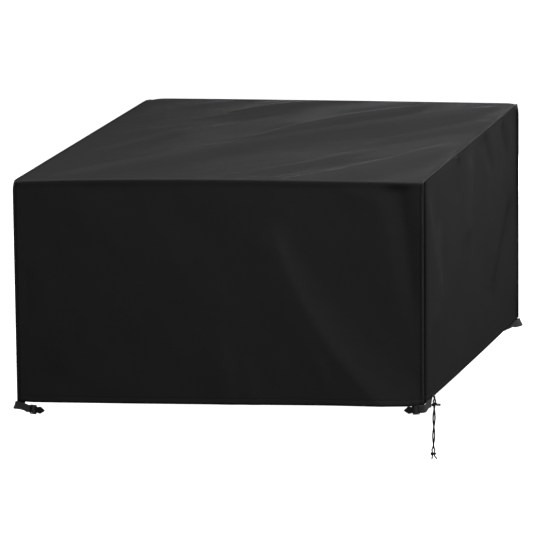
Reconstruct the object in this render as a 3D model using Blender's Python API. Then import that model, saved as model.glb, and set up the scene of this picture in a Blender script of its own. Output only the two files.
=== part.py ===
"""A fitted cover for square patio furniture, draped and hollow. Metres, +Z up.

The origin is the middle of the underside of the cover's top. The front faces -Y, the right end +X.

Every sheet is first drawn on a plain box of WIDTH, DEPTH and DROP. settle() then moves each point a
little, so that no corner or hem sits quite true, as cloth hangs.
"""

import math
from collections import namedtuple

import bmesh
import bpy
from mathutils import Matrix, Vector
from mathutils.geometry import delaunay_2d_cdt

for old in list(bpy.data.objects):
    bpy.data.objects.remove(old, do_unlink=True)

# Driving dimensions
WIDTH = 1.35  # left to right
DEPTH = 1.35  # front to back
DROP = 0.735  # underside of the top to the hem
CLOTH = 0.002  # thickness of each sheet
SEWN_GAP = 0.0005  # between sheets that are sewn together
SEAM_STEP = 0.0006  # the end panels lie this far inside the seam's edge
BEND = 0.007  # radius of the soft front and back top edges
WEB_WIDTH = 0.0245
WEB_THICK = 0.0016
CORD = 0.0050  # diameter of the drawstring's strands

FRONT, BACK = "front", "back"
LEFT, RIGHT = "left", "right"
SIGN = {LEFT: -1, RIGHT: 1, FRONT: -1, BACK: 1}

# How far each corner of the real cover sits from the plain box: x, y, z.
TOP_SHIFT = {
    (LEFT, FRONT): (0.001, 0.000, -0.021),
    (RIGHT, FRONT): (0.007, 0.000, -0.004),
    (RIGHT, BACK): (0.006, 0.000, -0.001),
    (LEFT, BACK): (0.037, 0.000, 0.0045),
}
HEM_SHIFT = {
    (LEFT, FRONT): (-0.024, 0.000, -0.012),
    (RIGHT, FRONT): (-0.016, 0.000, 0.014),
    (RIGHT, BACK): (-0.015, -0.004, -0.015),
    (LEFT, BACK): (-0.012, -0.010, -0.005),
}
# No corner of the top is filled out: how far each is drawn in and down, and over what distance.
SOFT = {
    (LEFT, FRONT): (0.0024, 0.014),
    (RIGHT, FRONT): (0.0010, 0.014),
    (RIGHT, BACK): (0.0032, 0.019),
    (LEFT, BACK): (0.0045, 0.030),
}
# How high the top crowns between its ends, and how low the front's hem hangs between its corners.
CROWN = {FRONT: 0.0090, BACK: 0.0018}
HEM_DIP, DIP_REACH = 0.0031, 0.06

# How far the middle of each wall's hem stands out from the line between its corners.
BELLY = {FRONT: 0.005, BACK: 0.009, LEFT: 0.006, RIGHT: 0.004}

# Main folds. Each follows a curve from start through bend to end. Places are x, y on the top, x, z on
# the front and the back, and y, z on the ends. Every pair gives a size at the start and at the end:
# how high the crest stands, or how deep the crease lies where it is negative, and how far the cloth
# slopes away from it on the left-hand and on the right-hand side. tapers are the shares of the
# fold's length over which it rises from nothing and dies away.
Fold = namedtuple("Fold", "face start bend end height left right tapers", defaults=((0.22, 0.22),))
TOP = "top"
FOLDS = [
    Fold(TOP, (-0.600, -0.650), (-0.010, 0.020), (0.655, 0.630), (0.0060, 0.0085), (0.026, 0.036), (0.056, 0.066), (0.08, 0.10)),
    Fold(TOP, (-0.110, -0.050), (0.110, 0.360), (0.420, 0.630), (0.0042, 0.0042), (0.024, 0.028), (0.036, 0.040)),
    Fold(TOP, (-0.300, 0.410), (-0.205, 0.545), (-0.060, 0.650), (0.0032, 0.0032), (0.024, 0.026), (0.036, 0.040)),
    Fold(TOP, (-0.600, -0.270), (-0.475, -0.040), (-0.350, 0.180), (0.0042, 0.0042), (0.024, 0.026), (0.036, 0.040)),
    Fold(TOP, (0.250, -0.670), (0.445, -0.390), (0.655, 0.040), (0.0070, 0.0058), (0.034, 0.036), (0.084, 0.076), (0.06, 0.22)),
    Fold(TOP, (0.060, -0.580), (0.235, -0.380), (0.360, -0.200), (0.0034, 0.0032), (0.026, 0.028), (0.050, 0.048)),
    Fold(TOP, (0.360, -0.020), (0.500, 0.170), (0.655, 0.360), (0.0046, 0.0046), (0.026, 0.028), (0.042, 0.046), (0.2, 0.12)),
    Fold(FRONT, (0.178, -0.100), (0.345, -0.500), (0.740, -0.930), (0.0045, 0.0145), (0.044, 0.165), (0.110, 0.190), (0.16, 0.02)),
    Fold(FRONT, (0.592, -0.002), (0.617, -0.180), (0.648, -0.510), (-0.0085, -0.0085), (0.062, 0.062), (0.074, 0.038), (0.03, 0.30)),
    Fold(FRONT, (0.400, -0.018), (0.478, -0.048), (0.552, -0.080), (0.0014, 0.0014), (0.030, 0.034), (0.050, 0.060)),
    Fold(FRONT, (-0.010, -0.465), (0.038, -0.640), (0.040, -0.900), (0.0014, 0.0036), (0.034, 0.050), (0.048, 0.070), (0.25, 0.02)),
    Fold(FRONT, (0.092, -0.555), (0.114, -0.700), (0.120, -0.900), (0.0016, 0.0030), (0.034, 0.044), (0.040, 0.056), (0.25, 0.02)),
    Fold(FRONT, (0.336, -0.560), (0.348, -0.620), (0.358, -0.690), (0.0020, 0.0020), (0.016, 0.020), (0.024, 0.030), (0.3, 0.30)),
    Fold(FRONT, (-0.640, -0.240), (-0.638, -0.380), (-0.646, -0.500), (-0.0018, -0.0018), (0.050, 0.060), (0.034, 0.030), (0.3, 0.30)),
    Fold(RIGHT, (-0.630, -0.030), (-0.540, -0.250), (-0.420, -0.480), (0.0050, 0.0050), (0.060, 0.090), (0.060, 0.080)),
    Fold(RIGHT, (-0.039, -0.025), (-0.055, -0.170), (-0.078, -0.340), (0.0070, 0.0070), (0.080, 0.090), (0.070, 0.090)),
    Fold(RIGHT, (-0.470, -0.150), (-0.495, -0.340), (-0.520, -0.560), (0.0060, 0.0060), (0.070, 0.090), (0.060, 0.070)),
    Fold(RIGHT, (-0.188, -0.020), (-0.196, -0.090), (-0.206, -0.170), (-0.0045, -0.0030), (0.040, 0.050), (0.050, 0.060), (0.1, 0.3)),
    Fold(RIGHT, (0.160, -0.010), (0.236, -0.090), (0.312, -0.185), (-0.0055, -0.0040), (0.050, 0.060), (0.060, 0.070), (0.1, 0.3)),
    Fold(RIGHT, (0.410, -0.020), (0.478, -0.092), (0.548, -0.175), (-0.0055, -0.0040), (0.050, 0.060), (0.060, 0.070), (0.1, 0.3)),
    Fold(RIGHT, (0.622, -0.280), (0.440, -0.455), (0.244, -0.620), (-0.0085, -0.0085), (0.090, 0.110), (0.080, 0.090)),
    Fold(LEFT, (0.560, -0.040), (0.410, -0.400), (0.220, -0.900), (0.0070, 0.0110), (0.060, 0.120), (0.080, 0.140), (0.18, 0.02)),
    Fold(LEFT, (-0.380, -0.060), (-0.340, -0.300), (-0.350, -0.600), (0.0060, 0.0060), (0.050, 0.070), (0.060, 0.090)),
    Fold(LEFT, (0.060, -0.050), (0.010, -0.220), (-0.020, -0.420), (-0.0060, -0.0060), (0.060, 0.080), (0.060, 0.080)),
    Fold(BACK, (-0.500, -0.040), (-0.340, -0.420), (-0.190, -0.900), (0.0060, 0.0120), (0.045, 0.110), (0.080, 0.140), (0.18, 0.02)),
    Fold(BACK, (0.440, -0.050), (0.350, -0.420), (0.300, -0.900), (0.0060, 0.0100), (0.050, 0.090), (0.070, 0.120), (0.18, 0.02)),
    Fold(BACK, (0.060, -0.050), (0.050, -0.250), (0.030, -0.480), (-0.0060, -0.0060), (0.060, 0.080), (0.060, 0.080)),
]
CREST_STEPS = 12  # stretches that a fold's curve is measured in
CREASE = 0.004  # how softly the cloth turns over a crest
FALL = 1.5  # how soon the slope beside a crest flattens out
FADE = 0.030  # a fold dies away over this distance from a seam or a bend


def lerp(a, b, share):
    return a + (b - a) * share


def smooth(share):
    """0 to 1, with no corner at either end."""
    share = min(max(share, 0.0), 1.0)
    return share * share * (3 - 2 * share)


def settle(point):
    """Where a point of the plain box comes to lie on the real cover."""
    right = point.x / WIDTH + 0.5
    back = point.y / DEPTH + 0.5
    up = (point.z + DROP) / DROP
    moved = point.copy()
    for side, x_share in ((LEFT, 1 - right), (RIGHT, right)):
        for end, y_share in ((FRONT, 1 - back), (BACK, back)):
            low, high = Vector(HEM_SHIFT[side, end]), Vector(TOP_SHIFT[side, end])
            moved += x_share * y_share * lerp(low, high, up)
    for (side, end), (pull, reach) in SOFT.items():
        corner = Vector((SIGN[side] * WIDTH / 2, SIGN[end] * DEPTH / 2, 0))
        nearness = math.exp(-((point - corner).length / reach) ** 2)
        moved -= nearness * pull * Vector((SIGN[side], SIGN[end], 1))
    crown = lerp(CROWN[FRONT], CROWN[BACK], back) * math.sin(math.pi * min(max(right, 0.0), 1.0) ** 0.75)
    moved.z += crown * min(max(up, 0.0), 1.0)
    in_front = min(max(1 - (point.y + DEPTH / 2) / DIP_REACH, 0.0), 1.0)
    dip = HEM_DIP * smooth((WIDTH / 2 - abs(point.x)) / DIP_REACH) * in_front
    moved.z -= dip * (1 - min(max(up, 0.0), 1.0))
    return moved


def crest_of(fold):
    """The points along a fold's curve, which passes through its start, bend and end."""
    start, bend, end = Vector(fold.start), Vector(fold.bend), Vector(fold.end)
    control = 2 * bend - (start + end) / 2
    shares = [i / CREST_STEPS for i in range(CREST_STEPS + 1)]
    return [lerp(lerp(start, control, t), lerp(control, end, t), t) for t in shares]


CRESTS = [(fold, crest_of(fold)) for fold in FOLDS]

def bump(distance, width):
    """A round rise of height 1 that ends at width on both sides."""
    return 0.5 + 0.5 * math.cos(math.pi * distance / width) if abs(distance) < width else 0.0


def fold_height(fold, crest, place):
    """How far one fold lifts the cloth at a place on its face."""
    best = None
    for i in range(CREST_STEPS):
        run = crest[i + 1] - crest[i]
        share = min(max((place - crest[i]).dot(run) / run.length_squared, 0.0), 1.0)
        away = place - lerp(crest[i], crest[i + 1], share)
        if best is None or away.length < best[0]:
            right_hand = run.y * away.x - run.x * away.y
            best = (away.length, (i + share) / CREST_STEPS, math.copysign(1, right_hand))
    distance, along, hand = best
    width = lerp(*(fold.right if hand > 0 else fold.left), along)
    rising, dying = fold.tapers
    ends = smooth(along / rising) * smooth((1 - along) / dying)
    away = math.hypot(distance, CREASE) - CREASE
    return ends * lerp(*fold.height, along) * (1 - min(away / width, 1.0)) ** FALL


def relief(face, a, b, edge_distance):
    """How far the cloth stands out of the plain box at a place on one face."""
    place = Vector((a, b))
    folds = sum(fold_height(fold, crest, place) for fold, crest in CRESTS if fold.face == face)
    if face == TOP:
        return folds * smooth(edge_distance / FADE)
    share = a / (DEPTH if face in (LEFT, RIGHT) else WIDTH) + 0.5
    fallen = smooth(-b / DROP)
    belly = BELLY[face] * math.sin(math.pi * min(max(share, 0.0), 1.0)) * fallen
    return folds * smooth(edge_distance / FADE) + belly


# The main panel as cut: x across, and v along it from the front hem over the top to the back hem.
WALL = DROP + CLOTH - BEND
ARC = BEND * math.pi / 2
FLAT_TOP = DEPTH - 2 * BEND
CUT_LENGTH = 2 * (WALL + ARC) + FLAT_TOP


def main_panel_place(flat):
    """Where a point of the cut main panel lies on the cover."""
    x, v = flat.x, flat.y
    front_half = v < CUT_LENGTH / 2
    run = v if front_half else CUT_LENGTH - v
    facing = -1 if front_half else 1
    seam = WIDTH / 2 - abs(x)
    if run <= WALL:
        face = FRONT if front_half else BACK
        z = run - DROP
        out = Vector((0, facing, 0))
        point = Vector((x, facing * DEPTH / 2, z))
        lift = relief(face, x, z, min(seam, WALL - run))
    elif run <= WALL + ARC:
        turn = (run - WALL) / BEND
        out = Vector((0, facing * math.cos(turn), math.sin(turn)))
        point = Vector((x, facing * (DEPTH / 2 - BEND), CLOTH - BEND)) + BEND * out
        lift = 0.0
    else:
        y = facing * (FLAT_TOP / 2 - (run - WALL - ARC))
        out = Vector((0, 0, 1))
        point = Vector((x, y, CLOTH))
        lift = relief(TOP, x, y, min(seam, run - WALL - ARC))
    return settle(point + lift * out)


def end_panel_place(side):
    """A function that takes a point of the cut end panel, as y towards its right edge and z, to the cover."""
    sign = SIGN[side]

    def place(flat):
        y, z = flat.x * sign, flat.y
        edge = min(DEPTH / 2 - abs(y), -z)
        lift = relief(side, y, z, edge)
        return settle(Vector((sign * (WIDTH / 2 - SEAM_STEP + lift), y, z)))

    return place


def material(name, colour, roughness, metallic=0.0):
    made = bpy.data.materials.new(name)
    made.use_nodes = True
    shader = made.node_tree.nodes["Principled BSDF"]
    shader.inputs["Base Color"].default_value = (*colour, 1.0)
    shader.inputs["Roughness"].default_value = roughness
    shader.inputs["Metallic"].default_value = metallic
    made.diffuse_color = (*colour, 1.0)
    return made


CLOTH_BLACK = material("coated_cloth", (0.020, 0.020, 0.021), 0.62)
WEB_BLACK = material("webbing", (0.026, 0.026, 0.027), 0.75)
CORD_BLACK = material("cord", (0.012, 0.012, 0.012), 0.7)
PLASTIC_BLACK = material("buckle_plastic", (0.015, 0.015, 0.016), 0.42)


def add_object(name, mesh, finish):
    mesh.materials.clear()
    mesh.materials.append(finish)
    made = bpy.data.objects.new(name, mesh)
    bpy.context.scene.collection.objects.link(made)
    return made


GRID = 0.115  # pitch of the points of a sheet where nothing bends it
ALONG_FOLD = 0.070  # pitch of the points along a fold
CLOSEST = 0.020  # no two inner points of a sheet lie nearer than this
SEAM_STARTS = (0.0, 0.035, 0.085)  # first places along a seam, from either end


def places_along(length):
    """Distances along a seam, closer together towards its ends."""
    inner = length - 2 * SEAM_STARTS[-1]
    count = math.ceil(inner / GRID)
    middle = [SEAM_STARTS[-1] + inner * i / count for i in range(count + 1)]
    return [*SEAM_STARTS[:-1], *middle, *(length - s for s in reversed(SEAM_STARTS[:-1]))]


def fold_lines(face, to_flat):
    """The crests of one face's folds as rows of points, and the points at their feet."""
    rows, beside = [], []
    for fold, crest in CRESTS:
        if fold.face != face:
            continue
        length = sum((b - a).length for a, b in zip(crest, crest[1:]))
        count = math.ceil(length / ALONG_FOLD)
        row = []
        for i in range(count + 1):
            share = i / count
            at = min(int(share * CREST_STEPS), CREST_STEPS - 1)
            run = crest[at + 1] - crest[at]
            place = crest[at] + run * (share * CREST_STEPS - at)
            row.append(to_flat(place))
            right_hand = Vector((run.y, -run.x)).normalized()
            left, right = lerp(*fold.left, share), lerp(*fold.right, share)
            beside += [to_flat(place + right_hand * away) for away in (-left, right)]
        rows.append(row)
    return rows, beside


def inside(point, low, high):
    return all(low[k] + CLOSEST <= point[k] <= high[k] - CLOSEST for k in (0, 1))


def thinned(points, kept, low, high):
    """The points that lie inside low and high and are not too near any kept one."""
    kept = list(kept)
    first = len(kept)
    for point in points:
        if inside(point, low, high) and all((point - other).length > CLOSEST for other in kept):
            kept.append(point)
    return kept[first:]


def grid_points(low, high):
    counts = [math.ceil((high[k] - low[k]) / GRID) for k in (0, 1)]
    return [
        Vector((lerp(low[0], high[0], i / counts[0]), lerp(low[1], high[1], j / counts[1])))
        for i in range(1, counts[0])
        for j in range(1, counts[1])
    ]


def sheet(name, outline, rows, inner, place):
    """A cloth solid from its cut shape: rows are lines of points that the mesh has to follow."""
    flat = list(outline)
    held = [(i, (i + 1) % len(outline)) for i in range(len(outline))]
    for row in rows:
        ids = []
        for point in row:
            if isinstance(point, int):
                ids.append(point)
            else:
                ids.append(len(flat))
                flat.append(point)
        held += list(zip(ids, ids[1:]))
    flat += inner
    points, _, faces, *_ = delaunay_2d_cdt(flat, held, [], 1, 1e-6)
    mesh = bpy.data.meshes.new(name)
    mesh.from_pydata([place(point) for point in points], [], faces)
    mesh.shade_smooth()
    made = add_object(name, mesh, CLOTH_BLACK)
    thick = made.modifiers.new("thickness", "SOLIDIFY")
    thick.thickness = CLOTH
    thick.offset = -1
    thick.use_even_offset = True
    return made


BEND_STEPS = 4


def make_main_panel():
    half = WIDTH / 2
    bend_places = [WALL + ARC * i / BEND_STEPS for i in range(BEND_STEPS + 1)]
    walls = places_along(WALL)
    top = [WALL + ARC + s for s in places_along(FLAT_TOP)]
    front = walls + bend_places[1:-1] + top[: len(top) // 2 + 1]
    back = [CUT_LENGTH - v for v in reversed(front) if v < CUT_LENGTH / 2 - 1e-6]
    seam = front + back
    across = [s - half for s in places_along(WIDTH)]
    outline = [Vector((x, 0)) for x in across]
    outline += [Vector((half, v)) for v in seam[1:]]
    outline += [Vector((x, CUT_LENGTH)) for x in reversed(across[:-1])]
    outline += [Vector((-half, v)) for v in reversed(seam[1:-1])]
    right_start = len(across) - 1
    left_start = right_start + len(seam) - 1 + len(across) - 1
    rows = []
    for k, v in enumerate(seam):
        run = min(v, CUT_LENGTH - v)
        if WALL - 1e-6 <= run <= WALL + ARC + 1e-6:
            left_id = left_start + len(seam) - 1 - k
            inner = [Vector((x, v)) for x in across[1:-1]]
            rows.append([left_id, *inner, right_start + k])
    low, high = (-half, 0), (half, CUT_LENGTH)
    beside = []
    for face, to_flat in (
        (FRONT, lambda p: Vector((p.x, p.y + DROP))),
        (TOP, lambda p: Vector((p.x, CUT_LENGTH / 2 + p.y))),
        (BACK, lambda p: Vector((p.x, CUT_LENGTH - p.y - DROP))),
    ):
        crests, feet = fold_lines(face, to_flat)
        rows += [[point for point in crest if inside(point, low, high)] for crest in crests]
        beside += feet
    fixed = outline + [point for row in rows for point in row if not isinstance(point, int)]
    inner = thinned(beside + grid_points(low, high), fixed, low, high)
    return sheet("main_panel", outline, rows, inner, main_panel_place)


def make_end_panel(side):
    inset = CLOTH + SEWN_GAP
    radius = BEND - inset
    reach = DEPTH / 2 - inset
    roof = CLOTH - inset
    outline = [Vector((s - DEPTH / 2, -DROP)) for s in places_along(DEPTH)[1:-1]]
    outline = [Vector((-reach, -DROP)), *outline, Vector((reach, -DROP))]
    edge = [Vector((reach, v - DROP)) for v in places_along(WALL)[1:]]
    for i in range(1, BEND_STEPS):
        turn = math.pi / 2 * i / BEND_STEPS
        corner = Vector((reach - radius, roof - radius))
        edge.append(corner + radius * Vector((math.cos(turn), math.sin(turn))))
    top = [Vector((s - FLAT_TOP / 2, roof)) for s in places_along(FLAT_TOP)]
    outline += edge + list(reversed(top)) + [Vector((-p.x, p.y)) for p in reversed(edge)]
    low, high = (-reach, -DROP), (reach, roof)
    crests, feet = fold_lines(side, lambda p: Vector((p.x * SIGN[side], p.y)))
    rows = [[point for point in crest if inside(point, low, high)] for crest in crests]
    fixed = outline + [point for row in rows for point in row]
    inner = thinned(feet + grid_points(low, high), fixed, low, high)
    return sheet(f"{side}_panel", outline, rows, inner, end_panel_place(side))


def between(a, b, c, d, t):
    """The place at share t of the way from b to c on a smooth curve through all four."""
    return 0.5 * (
        2 * b + (c - a) * t + (2 * a - 5 * b + 4 * c - d) * t * t
        + (3 * b - a - 3 * c + d) * t * t * t
    )


def curve_through(stops, spacing):
    """Points, each with an upward direction, at about this spacing on a smooth curve through stops."""
    first = tuple(2 * near - far for near, far in zip(stops[0], stops[1]))
    last = tuple(2 * near - far for near, far in zip(stops[-1], stops[-2]))
    guide = [first, *stops, last]
    made = []
    for four in zip(guide, guide[1:], guide[2:], guide[3:]):
        steps = max(1, round((four[2][0] - four[1][0]).length / spacing))
        for i in range(steps):
            made.append(tuple(between(*(stop[k] for stop in four), i / steps) for k in (0, 1)))
    return [*made, stops[-1]]


def ribbon(name, path, width, thick, finish):
    """A flat strap along a path of points, with its width along each point's upward direction."""
    mesh = bmesh.new()
    rings = []
    for i, (point, upward) in enumerate(path):
        ahead = (path[min(i + 1, len(path) - 1)][0] - path[max(i - 1, 0)][0]).normalized()
        up = (upward - upward.dot(ahead) * ahead).normalized()
        side = ahead.cross(up)
        corners = ((-1, -1), (1, -1), (1, 1), (-1, 1))
        rings.append([
            mesh.verts.new(point + side * thick / 2 * s + up * width / 2 * u) for s, u in corners
        ])
    for ring, following in zip(rings, rings[1:]):
        for k in range(4):
            mesh.faces.new((ring[k], ring[(k + 1) % 4], following[(k + 1) % 4], following[k]))
    mesh.faces.new(rings[0])
    mesh.faces.new(reversed(rings[-1]))
    bmesh.ops.recalc_face_normals(mesh, faces=mesh.faces)
    data = bpy.data.meshes.new(name)
    mesh.to_mesh(data)
    mesh.free()
    return add_object(name, data, finish)


# The plug, in its own frame: x from its first bar to its tip, z up, y through its thickness.
PLUG_THICK = 0.0032
LADDER_LONG, LADDER_HALF = 0.022, 0.0154
SLOT_HALF = WEB_WIDTH / 2 + 0.0006
SLOTS = ((0.0028, 0.0090), (0.0124, 0.0172))  # start and end of each along x
BAR_MIDDLE = (SLOTS[0][1] + SLOTS[1][0]) / 2
PLUG_OUTLINE = [  # half of it, along the upper side: x, z
    (0.000, 0.0142), (0.0014, LADDER_HALF), (0.0204, LADDER_HALF), (LADDER_LONG, 0.0138),
    (0.0233, 0.0094), (0.0292, 0.0108), (0.0344, 0.0120), (0.0378, 0.0106), (0.0482, 0.0024),
    (0.0504, 0.0000),
]
GROOVE = (0.0252, 0.0420)  # the grooves between the arms and the guide, from and to along x
GROOVE_Z = (0.0031, 0.0064)
GROOVE_FLOOR = 0.0012  # thickness that the grooves leave


def slab(name, outline, thick):
    """An outline in x, z, thickened about y = 0."""
    mesh = bmesh.new()
    near = mesh.faces.new([mesh.verts.new((x, -thick / 2, z)) for x, z in outline])
    grown = bmesh.ops.extrude_face_region(mesh, geom=[near])
    moved = [item for item in grown["geom"] if isinstance(item, bmesh.types.BMVert)]
    bmesh.ops.translate(mesh, verts=moved, vec=(0, thick, 0))
    bmesh.ops.recalc_face_normals(mesh, faces=mesh.faces)
    data = bpy.data.meshes.new(name)
    mesh.to_mesh(data)
    mesh.free()
    return add_object(name, data, PLASTIC_BLACK)


def block(name, low, high):
    outline = [(low[0], low[2]), (high[0], low[2]), (high[0], high[2]), (low[0], high[2])]
    made = slab(name, outline, high[1] - low[1])
    made.data.transform(Matrix.Translation((0, (low[1] + high[1]) / 2, 0)))
    return made


def combined(name, base, tools, operation):
    """One mesh from a base and the blocks that are cut from it or joined to it."""
    for tool in tools:
        step = base.modifiers.new(tool.name, "BOOLEAN")
        step.operation = operation
        step.object = tool
    bpy.context.view_layer.update()
    graph = bpy.context.evaluated_depsgraph_get()
    mesh = bpy.data.meshes.new_from_object(base.evaluated_get(graph))
    mesh.name = name
    for used in (base, *tools):
        bpy.data.objects.remove(used, do_unlink=True)
    return mesh


def plug_mesh():
    lower = [(x, -z) for x, z in reversed(PLUG_OUTLINE[:-1])]
    body = slab("plug_body", PLUG_OUTLINE + lower, PLUG_THICK)
    deep = PLUG_THICK
    cutters = [
        block(f"slot_{i}", (start, -deep, -SLOT_HALF), (end, deep, SLOT_HALF))
        for i, (start, end) in enumerate(SLOTS)
    ]
    for face in (-1, 1):
        near, far = sorted((face * GROOVE_FLOOR / 2, face * deep))
        for arm in (-1, 1):
            low, high = sorted(arm * z for z in GROOVE_Z)
            cutters.append(
                block(f"groove_{face}_{arm}", (GROOVE[0], near, low), (GROOVE[1], far, high))
            )
    return combined("plug", body, cutters, "DIFFERENCE")


# The socket, in its own frame: x from its sewn bar to its mouth.
SOCKET_LONG, SOCKET_HALF, SOCKET_THICK = 0.032, 0.0154, 0.0076
SOCKET_OUTLINE = [
    (0.000, 0.0141), (0.0016, SOCKET_HALF), (0.0300, SOCKET_HALF), (SOCKET_LONG, 0.0145),
]
SOCKET_BAR = 0.0030
SOCKET_SLOT = (SOCKET_BAR, 0.0072)
MOUTH_FROM, MOUTH_HALF, MOUTH_THICK = 0.0098, 0.0128, 0.0044
WINDOW = (0.0125, 0.0225)  # the side windows, from and to along x


def socket_mesh():
    lower = [(x, -z) for x, z in reversed(SOCKET_OUTLINE)]
    body = slab("socket_body", SOCKET_OUTLINE + lower, SOCKET_THICK)
    deep = SOCKET_THICK
    past = SOCKET_LONG + 0.005
    cutters = [
        block("bar_slot", (SOCKET_SLOT[0], -deep, -SLOT_HALF), (SOCKET_SLOT[1], deep, SLOT_HALF)),
        block("mouth", (MOUTH_FROM, -MOUTH_THICK / 2, -MOUTH_HALF), (past, MOUTH_THICK / 2, MOUTH_HALF)),
        block("window_up", (WINDOW[0], -MOUTH_THICK / 2, 0.010), (WINDOW[1], MOUTH_THICK / 2, 0.022)),
        block("window_down", (WINDOW[0], -MOUTH_THICK / 2, -0.022), (WINDOW[1], MOUTH_THICK / 2, -0.010)),
    ]
    return combined("socket", body, cutters, "DIFFERENCE")


# The long strap's route round its corner. inward runs from the hem's corner along the front or the
# back, along runs from it along the end wall, and drop runs down from it. Below 0, inward and along
# are outside the cover. lean tips the strap's upper edge inward, in degrees.
Stop = namedtuple("Stop", "inward along drop lean")
STRAP_OUT = 0.0108  # how far outside the front or the back the strap runs
LEVEL_ROUTE = (
    Stop(0.0048, 0.110, -0.0140, 0),
    Stop(0.0048, 0.090, -0.0135, 0),
    Stop(0.0054, 0.070, -0.0055, 0),
    Stop(0.0054, 0.054, 0.0060, 0),
    Stop(0.0046, 0.041, 0.0136, 0),
    Stop(-0.0004, 0.030, 0.0142, 0),
    Stop(-0.0082, 0.016, 0.0130, 18),
    Stop(-0.0100, 0.003, 0.0114, 26),
    Stop(-0.0062, -0.0080, 0.0106, 18),
    Stop(0.0035, -0.0107, 0.0106, 9),
    Stop(0.0160, -STRAP_OUT, 0.0122, 13),
    Stop(0.0290, -STRAP_OUT, 0.0156, 15),
)
HUNG_ROUTE = (  # it leaves the hem farther from the corner
    Stop(0.0048, 0.146, -0.0135, 0),
    Stop(0.0048, 0.131, -0.0110, 0),
    Stop(0.0056, 0.119, 0.0020, 0),
    Stop(0.0054, 0.109, 0.0150, 0),
    Stop(0.0044, 0.098, 0.0158, 0),
    Stop(-0.0002, 0.087, 0.0156, 0),
    Stop(-0.0044, 0.076, 0.0126, 0),
    Stop(-0.0050, 0.058, 0.0086, 4),
    Stop(-0.0052, 0.036, 0.0056, 6),
    Stop(-0.0064, 0.016, 0.0054, 6),
    Stop(-0.0072, 0.003, 0.0064, 6),
    Stop(-0.0044, -0.0078, 0.0082, 8),
)
LOW_ROUTE = (
    Stop(0.0048, 0.200, -0.0135, 0),
    Stop(0.0048, 0.175, -0.0115, 0),
    Stop(0.0052, 0.130, -0.0045, 0),
    Stop(0.0054, 0.090, 0.0016, 0),
    Stop(0.0054, 0.060, 0.0072, 0),
    Stop(0.0046, 0.041, 0.0134, 1),
    Stop(-0.0002, 0.030, 0.0146, 3),
    Stop(-0.0076, 0.016, 0.0148, 18),
    Stop(-0.0092, 0.003, 0.0148, 28),
    Stop(-0.0056, -0.0080, 0.0154, 18),
    Stop(0.0040, -0.0107, 0.0172, 8),
    Stop(0.0170, -STRAP_OUT, 0.0210, 12),
    Stop(0.0320, -STRAP_OUT, 0.0275, 15),
)
# For each corner: its route, how far in the plug starts and how far below the hem, how far the plug
# dips in degrees, and how long the strap's free end is behind the plug.
Strap = namedtuple("Strap", "side end route reach drop dip tail")
STRAPS = [
    Strap(LEFT, FRONT, LEVEL_ROUTE, 0.0470, 0.0208, 5, 0.018),
    Strap(RIGHT, FRONT, HUNG_ROUTE, 0.0120, 0.0100, 5, 0.008),
    Strap(RIGHT, BACK, LOW_ROUTE, 0.0510, 0.0350, 13, 0.010),
    Strap(LEFT, BACK, LEVEL_ROUTE, 0.0480, 0.0208, 8, 0.016),
]
LAYER = PLUG_THICK / 2 + WEB_THICK / 2 + 0.0004  # from the plug's middle to webbing on its face
TAIL_LAYER = LAYER + WEB_THICK + 0.0012
# How the webbing is threaded: x in the plug's frame, and how far outward, in layers.
THREADING = [
    (-0.0080, -1.0), (0.0000, -1.0), (0.0040, -0.88), (0.0060, 0.0), (0.0080, 0.88),
    (BAR_MIDDLE, 1.05), (0.0138, 0.88), (0.0160, 0.0), (0.0160, -0.85),
]


class CornerFrame:
    """Takes distances inward, along the end wall and down from a hem corner to places on the cover."""

    def __init__(self, side, end):
        self.hem = settle(Vector((SIGN[side] * WIDTH / 2, SIGN[end] * DEPTH / 2, -DROP)))
        self.inward = Vector((-SIGN[side], 0, 0))
        self.along = Vector((0, -SIGN[end], 0))

    def place(self, inward, along, drop):
        return self.hem + self.inward * inward + self.along * along - Vector((0, 0, drop))

    def leaning(self, degrees):
        """Straight up at 0, and tipped inward above that."""
        lean = math.radians(degrees)
        return self.inward * math.sin(lean) + Vector((0, 0, math.cos(lean)))


def plug_matrix(strap):
    """The plug's frame: x inward and a little down, y across the front or the back, z up."""
    corner = CornerFrame(strap.side, strap.end)
    x_axis, z_axis = corner.leaning(strap.dip + 90), corner.leaning(strap.dip)
    turned = Matrix((x_axis, z_axis.cross(x_axis), z_axis)).transposed().to_4x4()
    return Matrix.Translation(corner.place(strap.reach, -STRAP_OUT - LAYER, strap.drop)) @ turned


def strap_path(strap):
    corner = CornerFrame(strap.side, strap.end)
    frame = plug_matrix(strap)
    upright = frame.col[2].xyz

    def threaded(x, layers):
        return frame @ Vector((x, 0, 0)) - corner.along * layers * LAYER, upright

    route = [
        (corner.place(stop.inward, stop.along, stop.drop), corner.leaning(stop.lean))
        for stop in strap.route
    ]
    lead = curve_through([*route, threaded(*THREADING[0])], 0.0045)
    behind = TAIL_LAYER / LAYER
    turn_back = [(0.0138, -1.0 - (behind - 1.0) * 0.55), (0.0078, -behind), (-0.0020, -behind)]
    ends = [*THREADING, *turn_back, (-strap.tail, -behind)]
    return lead[:-1] + curve_through([threaded(*stop) for stop in ends], 0.0022)


TAB_BEHIND = 0.046  # the short strap is sewn in this far behind the long one's end
TAB_LIFT = 0.018  # the short strap lies this far above the hem, inside the cover
SOCKET_AT = 0.034  # how far in from the end wall the socket's bar lies


def tab_path(corner, strap):
    """The short strap: sewn inside the end wall, turned inward behind the long one."""
    sewn = strap.route[0].along + TAB_BEHIND
    stops = [
        (0.0048, sewn + 0.030), (0.0048, sewn), (0.0056, sewn - 0.014), (0.0120, sewn - 0.0245),
        (0.0220, sewn - 0.0275), (SOCKET_AT - 0.0012, sewn - 0.0280),
    ]
    return curve_through([(corner.place(a, b, -TAB_LIFT), corner.leaning(0)) for a, b in stops], 0.005)


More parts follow.
